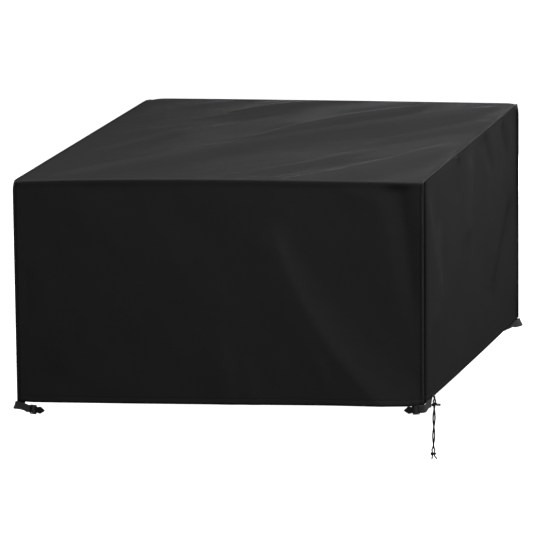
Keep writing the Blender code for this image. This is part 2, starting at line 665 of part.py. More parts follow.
def socket_matrix(corner, strap):
    x_axis = corner.inward
    z_axis = Vector((0, 0, 1))
    middle = corner.place(SOCKET_AT, strap.route[0].along + TAB_BEHIND - 0.0280, -TAB_LIFT)
    turned = Matrix((x_axis, z_axis.cross(x_axis), z_axis)).transposed().to_4x4()
    return Matrix.Translation(middle) @ turned


def make_straps():
    plug, socket = plug_mesh(), socket_mesh()
    for strap in STRAPS:
        corner = CornerFrame(strap.side, strap.end)
        where = f"{strap.end}_{strap.side}"
        ribbon(f"strap_{where}", strap_path(strap), WEB_WIDTH, WEB_THICK, WEB_BLACK)
        add_object(f"plug_{where}", plug, PLASTIC_BLACK).matrix_world = plug_matrix(strap)
        ribbon(f"tab_{where}", tab_path(corner, strap), WEB_WIDTH, WEB_THICK, WEB_BLACK)
        add_object(f"socket_{where}", socket, PLASTIC_BLACK).matrix_world = socket_matrix(corner, strap)


# The drawstring: how far behind the front it leaves the right end wall, and how far above the hem.
EXIT_BACK, EXIT_UP = 0.103, 0.0105
HANG_OUT = 0.0080  # how far outside the wall the strands hang
HANG_SWAY = (-0.007, -0.010)  # how far the knot hangs to the left and to the front of that
TOP_Z, HITCH_Z, KNOT_Z, END_Z = -0.7310, -0.7435, -0.9035, -0.9205
FULL_TURN = 0.115  # height over which the strands turn once round each other
FIRST_ANGLE = math.radians(20)
TAIL_FLARE = {-1: 0.0075, 1: 0.0022}  # how far each free end stands away under the knot
APART = CORD / 2 + 0.0005  # from their middle line to each strand
OPENING_Z, OPENING_HALF, OPENING = -0.8895, 0.0095, 0.0026  # where they stand wider apart


def cord_exit():
    hem_lift = lerp(HEM_SHIFT[RIGHT, FRONT][2], HEM_SHIFT[RIGHT, BACK][2], EXIT_BACK / DEPTH)
    share = 1 - EXIT_UP / DROP
    return end_panel_place(RIGHT)(
        Vector((EXIT_BACK - DEPTH / 2, EXIT_UP + hem_lift * (1 - share) - DROP))
    )


def strands_middle(z):
    """The middle line between the two hanging strands."""
    start = cord_exit()
    share = (TOP_Z - z) / (TOP_Z - KNOT_Z)
    return Vector((
        start.x + HANG_OUT + HANG_SWAY[0] * share, start.y + HANG_SWAY[1] * share, z
    ))


def cord_route(hand):
    """One strand, hand -1 or 1: out of the wall, down, round its fellow and out of the knot."""
    start = cord_exit()
    spread = Vector((0, hand * 0.0036, 0))
    route = [
        start + spread + Vector((SEWN_GAP, 0, 0)),
        start + spread + Vector((0.0042, 0, -0.0009)),
        start + spread * 0.9 + Vector((0.0078, 0, -0.0056)),
        strands_middle(start.z - 0.0120) + spread * 0.8,
    ]
    steps = 24
    for i in range(steps + 1):
        z = lerp(TOP_Z, KNOT_Z, i / steps)
        angle = FIRST_ANGLE + 2 * math.pi * (TOP_Z - z) / FULL_TURN
        apart = APART + OPENING * bump(z - OPENING_Z, OPENING_HALF)
        around = Vector((math.cos(angle), math.sin(angle), 0))
        route.append(strands_middle(z) + hand * apart * around)
    flare = (route[-1] - strands_middle(KNOT_Z)).normalized() * TAIL_FLARE[hand]
    route.append(route[-1] + flare * 0.15 - Vector((0, 0, 0.0065)))
    route.append(route[-1] + flare * 0.50 - Vector((0, 0, 0.0060)))
    last = route[-1] + flare * 0.35
    return [*route, Vector((last.x, last.y, END_Z))]


def tube(name, points, diameter, finish):
    data = bpy.data.curves.new(name, "CURVE")
    data.dimensions = "3D"
    data.bevel_depth = diameter / 2
    data.bevel_resolution = 2
    data.use_fill_caps = True
    data.materials.append(finish)
    line = data.splines.new("POLY")
    line.points.add(len(points) - 1)
    for point, at in zip(line.points, points):
        point.co = (*at, 1.0)
    made = bpy.data.objects.new(name, data)
    bpy.context.scene.collection.objects.link(made)
    return made


def collar(name, middle, bore, thick, height, tilt):
    """A rope ring drawn tight round both strands: bore is the radius of its hole."""
    steps, around = 8, 14
    profile = []
    for i in range(steps):
        angle = 2 * math.pi * i / steps
        profile.append((bore + thick / 2 * (1 + math.cos(angle)), height / 2 * math.sin(angle)))
    mesh = bmesh.new()
    rings = []
    for k in range(around):
        turn = Matrix.Rotation(2 * math.pi * k / around, 3, "Z")
        rings.append([mesh.verts.new(turn @ Vector((r, 0, z))) for r, z in profile])
    for k in range(around):
        ring, following = rings[k], rings[(k + 1) % around]
        for i in range(steps):
            j = (i + 1) % steps
            mesh.faces.new((ring[i], following[i], following[j], ring[j]))
    bmesh.ops.recalc_face_normals(mesh, faces=mesh.faces)
    data = bpy.data.meshes.new(name)
    mesh.to_mesh(data)
    mesh.free()
    data.transform(Matrix.Translation(middle) @ Matrix.Rotation(tilt, 4, "X"))
    return add_object(name, data, CORD_BLACK)


STUB_LONG, STUB_THICK = 0.0115, 0.0062  # the short end that stands out of the upper knot


def stub_mesh(middle, inner):
    """A stub that points to the right, with a blunt end."""
    sections = ((inner, 1.0), (inner + STUB_LONG * 0.75, 0.92), (inner + STUB_LONG, 0.5))
    mesh = bmesh.new()
    rings = [
        [
            mesh.verts.new(middle + Vector((x, *(
                STUB_THICK / 2 * size * Vector((math.cos(a), math.sin(a)))
            ))))
            for a in (2 * math.pi * k / 10 for k in range(10))
        ]
        for x, size in sections
    ]
    for ring, following in zip(rings, rings[1:]):
        for k in range(10):
            mesh.faces.new((ring[k], ring[(k + 1) % 10], following[(k + 1) % 10], following[k]))
    mesh.faces.new(rings[0])
    mesh.faces.new(reversed(rings[-1]))
    bmesh.ops.recalc_face_normals(mesh, faces=mesh.faces)
    data = bpy.data.meshes.new("stub")
    mesh.to_mesh(data)
    mesh.free()
    return add_object("stub", data, CORD_BLACK)


def make_drawstring():
    tube("cord_left", cord_route(-1), CORD, CORD_BLACK)
    tube("cord_right", cord_route(1), CORD, CORD_BLACK)
    bore = APART + CORD / 2 + 0.0005
    upper = strands_middle(HITCH_Z)
    ring = collar("hitch_ring", upper, bore, 0.0022, 0.0060, math.radians(9))
    stub = stub_mesh(upper, bore + 0.0008)
    add_object("cord_hitch", combined("cord_hitch", ring, [stub], "UNION"), CORD_BLACK)
    collar("cord_knot", strands_middle(KNOT_Z), bore, 0.0022, 0.0095, math.radians(-6))


make_main_panel()
make_end_panel(LEFT)
make_end_panel(RIGHT)
make_straps()
make_drawstring()
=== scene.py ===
"""The looks of a square patio furniture cover, laid out as a Blender add-on.

Metres, +Z up. The origin is the middle of the underside of the cover's top. The front faces -Y and
the right end +X. Every sheet is first drawn on a plain box of WIDTH, DEPTH and DROP. settle() then
moves each point a little, so that no corner or hem sits quite true, as cloth hangs.
"""

import math
from collections import namedtuple

import bmesh
import bpy
import numpy as np
from bpy.props import FloatProperty, FloatVectorProperty, PointerProperty
from mathutils import Matrix, Vector


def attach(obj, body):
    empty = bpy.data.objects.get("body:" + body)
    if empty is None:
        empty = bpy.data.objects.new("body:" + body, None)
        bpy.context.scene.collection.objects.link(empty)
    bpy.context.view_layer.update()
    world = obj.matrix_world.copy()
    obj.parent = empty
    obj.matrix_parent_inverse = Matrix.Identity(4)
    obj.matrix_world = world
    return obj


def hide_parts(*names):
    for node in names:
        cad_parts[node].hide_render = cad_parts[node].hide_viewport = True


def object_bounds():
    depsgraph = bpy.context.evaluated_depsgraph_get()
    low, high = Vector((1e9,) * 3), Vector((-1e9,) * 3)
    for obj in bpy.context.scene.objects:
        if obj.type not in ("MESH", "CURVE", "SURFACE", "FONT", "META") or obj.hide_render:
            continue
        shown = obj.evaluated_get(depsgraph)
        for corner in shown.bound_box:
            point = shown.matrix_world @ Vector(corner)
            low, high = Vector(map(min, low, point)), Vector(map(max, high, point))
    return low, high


bl_info = {
    "name": "Patio furniture cover",
    "version": (1, 0, 0),
    "blender": (4, 5, 0),
    "location": "3D View > Sidebar > Cover",
    "description": "Builds a fitted, draped cover with its straps, buckles and drawstring",
    "category": "Object",
}

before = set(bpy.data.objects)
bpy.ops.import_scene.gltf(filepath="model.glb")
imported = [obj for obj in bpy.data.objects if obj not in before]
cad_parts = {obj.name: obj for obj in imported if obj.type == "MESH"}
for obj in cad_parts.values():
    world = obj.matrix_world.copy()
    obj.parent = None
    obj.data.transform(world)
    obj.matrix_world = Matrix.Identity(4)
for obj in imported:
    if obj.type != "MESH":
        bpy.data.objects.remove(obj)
CAD_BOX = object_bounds()

# ---------------------------------------------------------------------------------------------
# Driving dimensions, the same as the solids'
# ---------------------------------------------------------------------------------------------
WIDTH = 1.35  # left to right
DEPTH = 1.35  # front to back
DROP = 0.735  # underside of the top to the hem
CLOTH = 0.002  # thickness of each solid's sheet
SEWN_GAP = 0.0005
SEAM_STEP = 0.0006
BEND = 0.007  # radius of the soft front and back top edges
WEB_WIDTH = 0.0245
WEB_THICK = 0.0016
CORD = 0.0050  # diameter of the drawstring's strands

FRONT, BACK = "front", "back"
LEFT, RIGHT = "left", "right"
TOP = "top"
SIGN = {LEFT: -1, RIGHT: 1, FRONT: -1, BACK: 1}

TOP_SHIFT = {
    (LEFT, FRONT): (0.001, 0.000, -0.021),
    (RIGHT, FRONT): (0.007, 0.000, -0.004),
    (RIGHT, BACK): (0.006, 0.000, -0.001),
    (LEFT, BACK): (0.037, 0.000, 0.0045),
}
HEM_SHIFT = {
    (LEFT, FRONT): (-0.024, 0.000, -0.012),
    (RIGHT, FRONT): (-0.016, 0.000, 0.014),
    (RIGHT, BACK): (-0.015, -0.004, -0.015),
    (LEFT, BACK): (-0.012, -0.010, -0.005),
}
# No corner of the top is filled out: how far each is drawn in and down, and over what distance.
SOFT = {
    (LEFT, FRONT): (0.0024, 0.014),
    (RIGHT, FRONT): (0.0010, 0.014),
    (RIGHT, BACK): (0.0032, 0.019),
    (LEFT, BACK): (0.0045, 0.030),
}
# How high the top crowns between its ends, and how low the front's hem hangs between its corners.
CROWN = {FRONT: 0.0090, BACK: 0.0018}
HEM_DIP, DIP_REACH = 0.0031, 0.06
BELLY = {FRONT: 0.005, BACK: 0.009, LEFT: 0.006, RIGHT: 0.004}

# Main folds. Each follows a curve from start through bend to end, and a wall's longest ones run on
# past its hem. Places are x, y on the top, x, z on the front and the back, and y, z on the ends.
# Every pair gives a size at the start and at the end: how high the crest stands, or how deep the
# crease lies where it is negative, and how far the cloth slopes away from it on the left-hand and
# on the right-hand side. tapers are the shares of its length over which a fold rises and dies away.
Fold = namedtuple("Fold", "face start bend end height left right tapers", defaults=((0.22, 0.22),))
FOLDS = [
    Fold(TOP, (-0.600, -0.650), (-0.010, 0.020), (0.655, 0.630),
         (0.0060, 0.0085), (0.026, 0.036), (0.056, 0.066), (0.08, 0.10)),
    Fold(TOP, (-0.110, -0.050), (0.110, 0.360), (0.420, 0.630),
         (0.0042, 0.0042), (0.024, 0.028), (0.036, 0.040)),
    Fold(TOP, (-0.300, 0.410), (-0.205, 0.545), (-0.060, 0.650),
         (0.0032, 0.0032), (0.024, 0.026), (0.036, 0.040)),
    Fold(TOP, (-0.600, -0.270), (-0.475, -0.040), (-0.350, 0.180),
         (0.0042, 0.0042), (0.024, 0.026), (0.036, 0.040)),
    Fold(TOP, (0.250, -0.670), (0.445, -0.390), (0.655, 0.040),
         (0.0070, 0.0058), (0.034, 0.036), (0.084, 0.076), (0.06, 0.22)),
    Fold(TOP, (0.060, -0.580), (0.235, -0.380), (0.360, -0.200),
         (0.0034, 0.0032), (0.026, 0.028), (0.050, 0.048)),
    Fold(TOP, (0.360, -0.020), (0.500, 0.170), (0.655, 0.360),
         (0.0046, 0.0046), (0.026, 0.028), (0.042, 0.046), (0.2, 0.12)),
    Fold(FRONT, (0.178, -0.100), (0.345, -0.500), (0.740, -0.930),
         (0.0045, 0.0145), (0.044, 0.165), (0.110, 0.190), (0.16, 0.02)),
    Fold(FRONT, (0.592, -0.002), (0.617, -0.180), (0.648, -0.510),
         (-0.0085, -0.0085), (0.062, 0.062), (0.074, 0.038), (0.03, 0.30)),
    Fold(FRONT, (0.400, -0.018), (0.478, -0.048), (0.552, -0.080),
         (0.0014, 0.0014), (0.030, 0.034), (0.050, 0.060)),
    Fold(FRONT, (-0.010, -0.465), (0.038, -0.640), (0.040, -0.900),
         (0.0014, 0.0036), (0.034, 0.050), (0.048, 0.070), (0.25, 0.02)),
    Fold(FRONT, (0.092, -0.555), (0.114, -0.700), (0.120, -0.900),
         (0.0016, 0.0030), (0.034, 0.044), (0.040, 0.056), (0.25, 0.02)),
    Fold(FRONT, (0.336, -0.560), (0.348, -0.620), (0.358, -0.690),
         (0.0020, 0.0020), (0.016, 0.020), (0.024, 0.030), (0.3, 0.30)),
    Fold(FRONT, (-0.640, -0.240), (-0.638, -0.380), (-0.646, -0.500),
         (-0.0018, -0.0018), (0.050, 0.060), (0.034, 0.030), (0.3, 0.30)),
    Fold(RIGHT, (-0.630, -0.030), (-0.540, -0.250), (-0.420, -0.480),
         (0.0050, 0.0050), (0.060, 0.090), (0.060, 0.080)),
    Fold(RIGHT, (-0.039, -0.025), (-0.055, -0.170), (-0.078, -0.340),
         (0.0070, 0.0070), (0.080, 0.090), (0.070, 0.090)),
    Fold(RIGHT, (-0.470, -0.150), (-0.495, -0.340), (-0.520, -0.560),
         (0.0060, 0.0060), (0.070, 0.090), (0.060, 0.070)),
    Fold(RIGHT, (-0.188, -0.020), (-0.196, -0.090), (-0.206, -0.170),
         (-0.0045, -0.0030), (0.040, 0.050), (0.050, 0.060), (0.1, 0.3)),
    Fold(RIGHT, (0.160, -0.010), (0.236, -0.090), (0.312, -0.185),
         (-0.0055, -0.0040), (0.050, 0.060), (0.060, 0.070), (0.1, 0.3)),
    Fold(RIGHT, (0.410, -0.020), (0.478, -0.092), (0.548, -0.175),
         (-0.0055, -0.0040), (0.050, 0.060), (0.060, 0.070), (0.1, 0.3)),
    Fold(RIGHT, (0.622, -0.280), (0.440, -0.455), (0.244, -0.620),
         (-0.0085, -0.0085), (0.090, 0.110), (0.080, 0.090)),
    Fold(LEFT, (0.560, -0.040), (0.410, -0.400), (0.220, -0.900),
         (0.0070, 0.0110), (0.060, 0.120), (0.080, 0.140), (0.18, 0.02)),
    Fold(LEFT, (-0.380, -0.060), (-0.340, -0.300), (-0.350, -0.600),
         (0.0060, 0.0060), (0.050, 0.070), (0.060, 0.090)),
    Fold(LEFT, (0.060, -0.050), (0.010, -0.220), (-0.020, -0.420),
         (-0.0060, -0.0060), (0.060, 0.080), (0.060, 0.080)),
    Fold(BACK, (-0.500, -0.040), (-0.340, -0.420), (-0.190, -0.900),
         (0.0060, 0.0120), (0.045, 0.110), (0.080, 0.140), (0.18, 0.02)),
    Fold(BACK, (0.440, -0.050), (0.350, -0.420), (0.300, -0.900),
         (0.0060, 0.0100), (0.050, 0.090), (0.070, 0.120), (0.18, 0.02)),
    Fold(BACK, (0.060, -0.050), (0.050, -0.250), (0.030, -0.480),
         (-0.0060, -0.0060), (0.060, 0.080), (0.060, 0.080)),
]
CREST_STEPS = 12
CREASE = 0.004  # how softly the cloth turns over a crest
FALL = 1.5  # how soon the slope beside a crest flattens out
FADE = 0.030  # a fold dies away over this distance from a seam or a bend

# Shallow waves of the cloth between its main folds: the way they run in degrees, how much that way
# varies, their length, their height and the seed of their draws.
Rumple = namedtuple("Rumple", "way spread length height seed")
RUMPLES = {
    TOP: [Rumple(46, 16, 0.085, 0.00022, 3), Rumple(50, 40, 0.240, 0.00070, 4)],
    FRONT: [Rumple(-62, 30, 0.100, 0.00012, 5), Rumple(-70, 50, 0.300, 0.00060, 6)],
    BACK: [Rumple(-70, 40, 0.120, 0.00030, 7), Rumple(70, 50, 0.300, 0.00120, 8)],
    LEFT: [Rumple(80, 30, 0.140, 0.00030, 9), Rumple(70, 40, 0.300, 0.00120, 10)],
    RIGHT: [Rumple(70, 40, 0.150, 0.00022, 11), Rumple(75, 35, 0.340, 0.00120, 12)],
}
RUMPLE_FADE = 0.12  # the waves die away over this height towards a hem
WAVES = 14  # sines that each rumple is the sum of


# ---------------------------------------------------------------------------------------------
# Shape of the cloth. Points are arrays, so that a whole sheet is worked out at once
# ---------------------------------------------------------------------------------------------
def lerp(a, b, share):
    return a + (b - a) * share


def smooth(share):
    """0 to 1, with no corner at either end."""
    share = np.clip(share, 0.0, 1.0)
    return share * share * (3 - 2 * share)


def bump(distance, width):
    """A round rise of height 1 that ends at width on both sides."""
    return 0.5 + 0.5 * np.cos(np.pi * np.clip(np.abs(distance) / width, 0, 1))


def settle(points):
    """Where points of the plain box come to lie on the real cover."""
    points = np.asarray(points, float).reshape(-1, 3)
    right, back, up = (points / (WIDTH, DEPTH, DROP) + (0.5, 0.5, 1.0)).T
    moved = points.copy()
    for side, x_share in ((LEFT, 1 - right), (RIGHT, right)):
        for end, y_share in ((FRONT, 1 - back), (BACK, back)):
            low, high = np.array(HEM_SHIFT[side, end]), np.array(TOP_SHIFT[side, end])
            moved += (x_share * y_share)[:, None] * lerp(low, high, up[:, None])
    for (side, end), (pull, reach) in SOFT.items():
        corner = np.array((SIGN[side] * WIDTH / 2, SIGN[end] * DEPTH / 2, 0))
        nearness = np.exp(-((np.linalg.norm(points - corner, axis=1) / reach) ** 2))
        moved -= nearness[:, None] * pull * np.array((SIGN[side], SIGN[end], 1))
    height = np.clip(up, 0, 1)
    arch = np.sin(np.pi * np.clip(right, 0, 1) ** 0.75)
    moved[:, 2] += lerp(CROWN[FRONT], CROWN[BACK], back) * arch * height
    in_front = np.clip(1 - (points[:, 1] + DEPTH / 2) / DIP_REACH, 0, 1)
    dip = HEM_DIP * smooth((WIDTH / 2 - np.abs(points[:, 0])) / DIP_REACH) * in_front
    moved[:, 2] -= dip * (1 - height)
    return moved


def crest_of(fold):
    """The points along a fold's curve, which passes through its start, bend and end."""
    start, bend, end = (np.array(place) for place in (fold.start, fold.bend, fold.end))
    control = 2 * bend - (start + end) / 2
    share = np.linspace(0, 1, CREST_STEPS + 1)[:, None]
    return lerp(lerp(start, control, share), lerp(control, end, share), share)


def fold_heights(fold, places):
    """How far one fold lifts the cloth at each place on its face."""
    crest = crest_of(fold)
    distance = np.full(len(places), np.inf)
    along, hand = np.zeros(len(places)), np.ones(len(places))
    for i in range(CREST_STEPS):
        run = crest[i + 1] - crest[i]
        share = np.clip((places - crest[i]) @ run / (run @ run), 0, 1)
        away = places - (crest[i] + share[:, None] * run)
        length = np.hypot(*away.T)
        nearer = length < distance
        distance[nearer] = length[nearer]
        along[nearer] = (i + share[nearer]) / CREST_STEPS
        hand[nearer] = np.sign(run[1] * away[nearer, 0] - run[0] * away[nearer, 1])
    width = np.where(hand > 0, lerp(*fold.right, along), lerp(*fold.left, along))
    rising, dying = fold.tapers
    ends = smooth(along / rising) * smooth((1 - along) / dying)
    away = np.hypot(distance, CREASE) - CREASE
    return ends * lerp(*fold.height, along) * (1 - np.clip(away / width, 0, 1)) ** FALL


def rumple_heights(rumple, places):
    """How far one set of shallow waves lifts the cloth at each place."""
    draws = np.random.default_rng(rumple.seed)
    ways = np.radians(rumple.way + 90 + draws.normal(0, rumple.spread / 2, WAVES))
    turns = 2 * np.pi / (rumple.length * draws.uniform(0.7, 1.5, WAVES))
    starts = draws.uniform(0, 2 * np.pi, WAVES)
    waves = places @ (turns * (np.cos(ways), np.sin(ways))) + starts
    return rumple.height * np.sin(waves).sum(axis=1) / math.sqrt(WAVES / 2)


def relief(face, places, edge_distance):
    """How far the cloth stands out of the plain box at places on one face."""
    height = sum(fold_heights(fold, places) for fold in FOLDS if fold.face == face)
    waves = sum(rumple_heights(rumple, places) for rumple in RUMPLES[face])
    if face != TOP:
        waves = waves * smooth((places[:, 1] + DROP) / RUMPLE_FADE)
    height = (height + waves) * smooth(edge_distance / FADE)
    if face == TOP:
        return height
    share = np.clip(places[:, 0] / (DEPTH if face in (LEFT, RIGHT) else WIDTH) + 0.5, 0, 1)
    return height + BELLY[face] * np.sin(np.pi * share) * smooth(-places[:, 1] / DROP)


WALL = DROP + CLOTH - BEND
ARC = BEND * math.pi / 2
FLAT_TOP = DEPTH - 2 * BEND
CUT_LENGTH = 2 * (WALL + ARC) + FLAT_TOP


def main_panel_places(x, v, lift=0.0):
    """Where points of the cut main panel lie: x across, v along it from front hem to back hem."""
    x, v, lift = (np.ravel(item) for item in np.broadcast_arrays(x, v, lift))
    front_half = v < CUT_LENGTH / 2
    run = np.where(front_half, v, CUT_LENGTH - v)
    facing = np.where(front_half, -1.0, 1.0)
    turn = np.clip((run - WALL) / BEND, 0, np.pi / 2)
    beyond = np.clip(run - WALL - ARC, 0, None)
    out = np.stack((np.zeros_like(x), facing * np.cos(turn), np.sin(turn)), axis=1)
    base = np.stack((x, facing * (DEPTH / 2 - BEND - beyond), np.minimum(run, WALL) - DROP), axis=1)
    seam = WIDTH / 2 - np.abs(x)
    for face, on_it, across, edge in (
        (FRONT, front_half & (run <= WALL), run - DROP, WALL - run),
        (BACK, ~front_half & (run <= WALL), run - DROP, WALL - run),
        (TOP, run > WALL + ARC, base[:, 1], run - WALL - ARC),
    ):
        places = np.stack((x, across), axis=1)[on_it]
        if len(places):
            lift = lift.astype(float)
            lift[on_it] += relief(face, places, np.minimum(seam, edge)[on_it])
    return settle(base + (BEND + lift)[:, None] * out)


def end_panel_places(side, s, z, lift=0.0):
    """Where points of a cut end panel lie: s towards its right-hand edge, z up."""
    s, z, lift = (np.ravel(item).astype(float) for item in np.broadcast_arrays(s, z, lift))
    y = s * SIGN[side]
    edge = np.minimum(DEPTH / 2 - np.abs(y), -z)
    height = relief(side, np.stack((y, z), axis=1), edge) + lift
    x = SIGN[side] * (WIDTH / 2 - SEAM_STEP + height)
    return settle(np.stack((x, y, z), axis=1))


def facing_of(place, across, along, step=0.0015):
    """The points at across, along on a panel, and the direction that the cloth faces at each."""
    here = place(across, along)
    right = place(across + step, along) - place(across - step, along)
    up = place(across, along + step) - place(across, along - step)
    out = np.cross(right, up)
    return here, out / np.linalg.norm(out, axis=1)[:, None]


# ---------------------------------------------------------------------------------------------
# Shader maths
# ---------------------------------------------------------------------------------------------
def math_node(operation, swapped=False):
    """A method that adds one Math node. swapped puts the signal after the other value."""

    def worked(self, *others):
        values = (*others, self) if swapped else (self, *others)
        return self.finish.node("ShaderNodeMath", {"operation": operation}, dict(enumerate(values)))

    return worked


class Signal:
    """A node's output. Arithmetic on it adds Math nodes."""

    def __init__(self, finish, socket):
        self.finish, self.socket = finish, socket

    __add__ = __radd__ = math_node("ADD")
    __sub__, __rsub__ = math_node("SUBTRACT"), math_node("SUBTRACT", swapped=True)
    __mul__ = __rmul__ = math_node("MULTIPLY")
    __gt__ = math_node("GREATER_THAN")
    __abs__ = math_node("ABSOLUTE")
    sine = math_node("SINE")

    def wave(self, pitch):
        """A sine from -1 to 1 that repeats at every pitch."""
        return (self * (2 * math.pi / pitch)).sine()

    def ripple(self, pitch):
        """The same wave from 0 to 1."""
        return 0.5 + 0.5 * self.wave(pitch)


class Finish:
    """A material, and the one way in which its nodes are made."""

    def __init__(self, name, **constants):
        self.material = bpy.data.materials.new(name)
        self.material.use_nodes = True
        self.tree = self.material.node_tree
        self.shader = self.tree.nodes["Principled BSDF"]
        self.surface(**constants)

    def surface(self, **values):
        """Sets or links the shader's sockets, named with _ for each space."""
        for socket, value in values.items():
            self.feed(self.shader.inputs[socket.replace("_", " ")], value)

    def feed(self, socket, value):
        if isinstance(value, Signal):
            self.tree.links.new(value.socket, socket)
        else:
            socket.default_value = value

    def node(self, kind, settings=None, inputs=None, output=0):
        """A node of any kind: its settings are set first, then its sockets take values or links."""
        made = self.tree.nodes.new(kind)
        for setting, value in (settings or {}).items():
            setattr(made, setting, value)
        for socket, value in (inputs or {}).items():
            self.feed(made.inputs[socket], value)
        return Signal(self, made.outputs[output])

    def parts(self, vector):
        split = self.node("ShaderNodeSeparateXYZ", None, {0: vector}).socket.node
        return [Signal(self, socket) for socket in split.outputs]

    def cut(self):
        """Places on the cut cloth in metres."""
        return self.node("ShaderNodeUVMap", {"uv_map": "cut"})

    def place(self):
        return self.node("ShaderNodeTexCoord", None, None, "Object")

    def noise(self, vector, scale, detail=2.0, roughness=0.5):
        inputs = {"Vector": vector, "Scale": scale, "Detail": detail, "Roughness": roughness}
        return self.node("ShaderNodeTexNoise", None, inputs)

    def streaks(self, vector, scales):
        """Noise that is stretched by another scale along each axis."""
        stretched = self.node("ShaderNodeMapping", None, {"Vector": vector, "Scale": scales})
        return self.noise(stretched, 1.0)

    def mixed(self, factor, dark, light):
        settings = {"data_type": "RGBA", "clamp_factor": True}
        return self.node("ShaderNodeMix", settings, {0: factor, 6: dark, 7: light}, 2)

    def toned(self, tone, colour, dark, light):
        """A colour from dark times to light times its own strength, as tone goes from 0 to 1."""
        return self.mixed(tone, tinted(colour, dark), tinted(colour, light))

    def attribute(self, name):
        return self.node("ShaderNodeAttribute", {"attribute_name": name}, None, "Fac")

    def bumped(self, *layers):
        """One Bump node on another, each with its height, its depth in metres and its strength."""
        below = {}
        for height, depth, strength in layers:
            inputs = {"Height": height, "Distance": depth, "Strength": strength, **below}
            below = {"Normal": self.node("ShaderNodeBump", None, inputs)}
        self.surface(**below)


def tinted(colour, times):
    """A colour made lighter or darker, opaque."""
    return (*(min(1.0, part * times) for part in colour[:3]), 1.0)


def coated_cloth(look):
    """Plain-woven polyester with a coat behind it: fine threads, a mottled tone, painted light on
    fold crests and painted shade in creases, at its hems, under its top bends and beside its seams.
    """
    made = Finish(
        "coated_cloth", Specular_IOR_Level=0.30, Sheen_Weight=look.sheen, Sheen_Roughness=0.45
    )
    flat = made.cut()
    across, along = made.parts(flat)[:2]
    warp, weft = (value.wave(2 * look.weave_pitch) for value in (across, along))
    over = warp * weft > 0.0
    warp, weft = abs(warp), abs(weft)
    warp_up = warp * (0.55 + 0.45 * weft)
    weft_up = weft * (0.55 + 0.45 * warp)
    weave = weft_up + over * (warp_up - weft_up)
    patches = made.noise(flat, 5.0, 3.0, 0.55)
    mottle = made.noise(flat, 160.0, 3.0, 0.6)
    slubs = made.streaks(flat, (30.0, 900.0, 1.0))
    shade = made.attribute("shade")
    tone = 0.469 + 0.20 * (patches - 0.5) + 0.27 * (mottle - 0.5) + 0.15 * (slubs - 0.5)
    # The crest attribute adds painted light on fold crests and painted shade in creases.
    tone = tone + 0.04 * (weave - 0.5) + 0.12 * made.attribute("crest")
    colour = made.toned(tone, look.colour, 0.40, 1.70)
    # Where the shade attribute is high the colour goes dark: painted shade at the hems, beside the
    # seams and under the top bends.
    made.surface(
        Base_Color=made.mixed(shade, colour, tinted(look.colour, 0.12)),
        Roughness=0.60 + 0.14 * (mottle - 0.5) - 0.06 * weave - 0.30 * shade,
    )
    crush = made.noise(flat, 42.0, 4.0, 0.55)
    made.bumped((crush, 0.0011, 0.35), (slubs, 0.00012, 0.35), (weave, 0.00016, 0.55))
    return made.material


def webbing_finish(look):
    """Narrow ribbed webbing: a herringbone of yarns between two firm edges."""
    made = Finish("webbing", Specular_IOR_Level=0.28, Roughness=0.72)
    across, along = made.parts(made.cut())[:2]
    from_middle = abs(across)
    ribs = (along + 0.55 * from_middle).ripple(0.0013)
    edge = from_middle > WEB_WIDTH / 2 - 0.0013
    middle = ribs * (0.6 + 0.4 * across.ripple(0.0016))
    height = (1 - edge) * middle + edge * along.ripple(0.0018)
    wear = made.noise(made.place(), 260.0, 3.0, 0.6)
    tone = 0.25 + 0.45 * height + 0.6 * (wear - 0.5)
    made.surface(Base_Color=made.toned(tone, look.webbing_colour, 0.55, 1.35))
    made.bumped((height, 0.00030, 0.8), (wear, 0.00012, 0.3))
    return made.material


def cord_finish(look):
    """Braided polyester cord: the braid is in its shape, the yarns' filaments are here."""
    made = Finish("cord", Specular_IOR_Level=0.30)
    around, along = made.parts(made.cut())[:2]
    lines = (along + 0.9 * around).ripple(0.0009)
    fuzz = made.noise(made.place(), 900.0, 2.0, 0.6)
    tone = 0.3 + 0.4 * lines + 0.5 * (fuzz - 0.5)
    made.surface(
        Base_Color=made.toned(tone, look.cord_colour, 0.6, 1.5), Roughness=0.62 + 0.2 * (fuzz - 0.5)
    )
    made.bumped((lines, 0.00010, 0.5), (fuzz, 0.00010, 0.4))
    return made.material


def thread_finish(look):
    """Twisted sewing thread."""
    made = Finish("thread", Specular_IOR_Level=0.35, Roughness=0.55)
    around, along = made.parts(made.cut())[:2]
    twist = (along + 1.4 * around).ripple(0.00075)
    made.surface(Base_Color=made.toned(0.2 + 0.7 * twist, look.thread_colour, 0.6, 1.3))
    made.bumped((twist, 0.00008, 0.6))
    return made.material


def plastic_finish(look):
    """Moulded satin plastic with a spark-eroded skin and a few light scuffs."""
    made = Finish("buckle_plastic", Specular_IOR_Level=0.45)
    place = made.place()
    grain = made.noise(place, 2600.0)
    cloud = made.noise(place, 140.0, 3.0, 0.55)
    streak = made.streaks(place, (120.0, 120.0, 1400.0))
    scuff = (streak > 0.66) * streak
    tone = 0.35 + 0.8 * (cloud - 0.5) + 0.25 * scuff
    made.surface(
        Base_Color=made.toned(tone, look.plastic_colour, 0.75, 1.5),
        Roughness=0.40 + 0.22 * (cloud - 0.5) + 0.12 * scuff,
    )
    made.bumped((grain, 0.00005, 0.35), (scuff, 0.00004, 0.3))
    return made.material


def floor_finish():
    made = Finish(
        "studio_floor", Specular_IOR_Level=0.1, Roughness=0.9, Emission_Strength=1.0,
        Emission_Color=(1, 1, 1, 1),
    )
    white = (1.0, 1.0, 1.0)
    made.surface(Base_Color=made.toned(made.noise(made.place(), 0.6), white, 0.86, 0.90))
    return made.material


FINISHES = {
    "coated_cloth": (coated_cloth, "cover_cloth"),
    "webbing": (webbing_finish, "cover_trim"),
    "cord": (cord_finish, "cover_trim"),
    "thread": (thread_finish, "cover_trim"),
    "buckle_plastic": (plastic_finish, "cover_trim"),
}


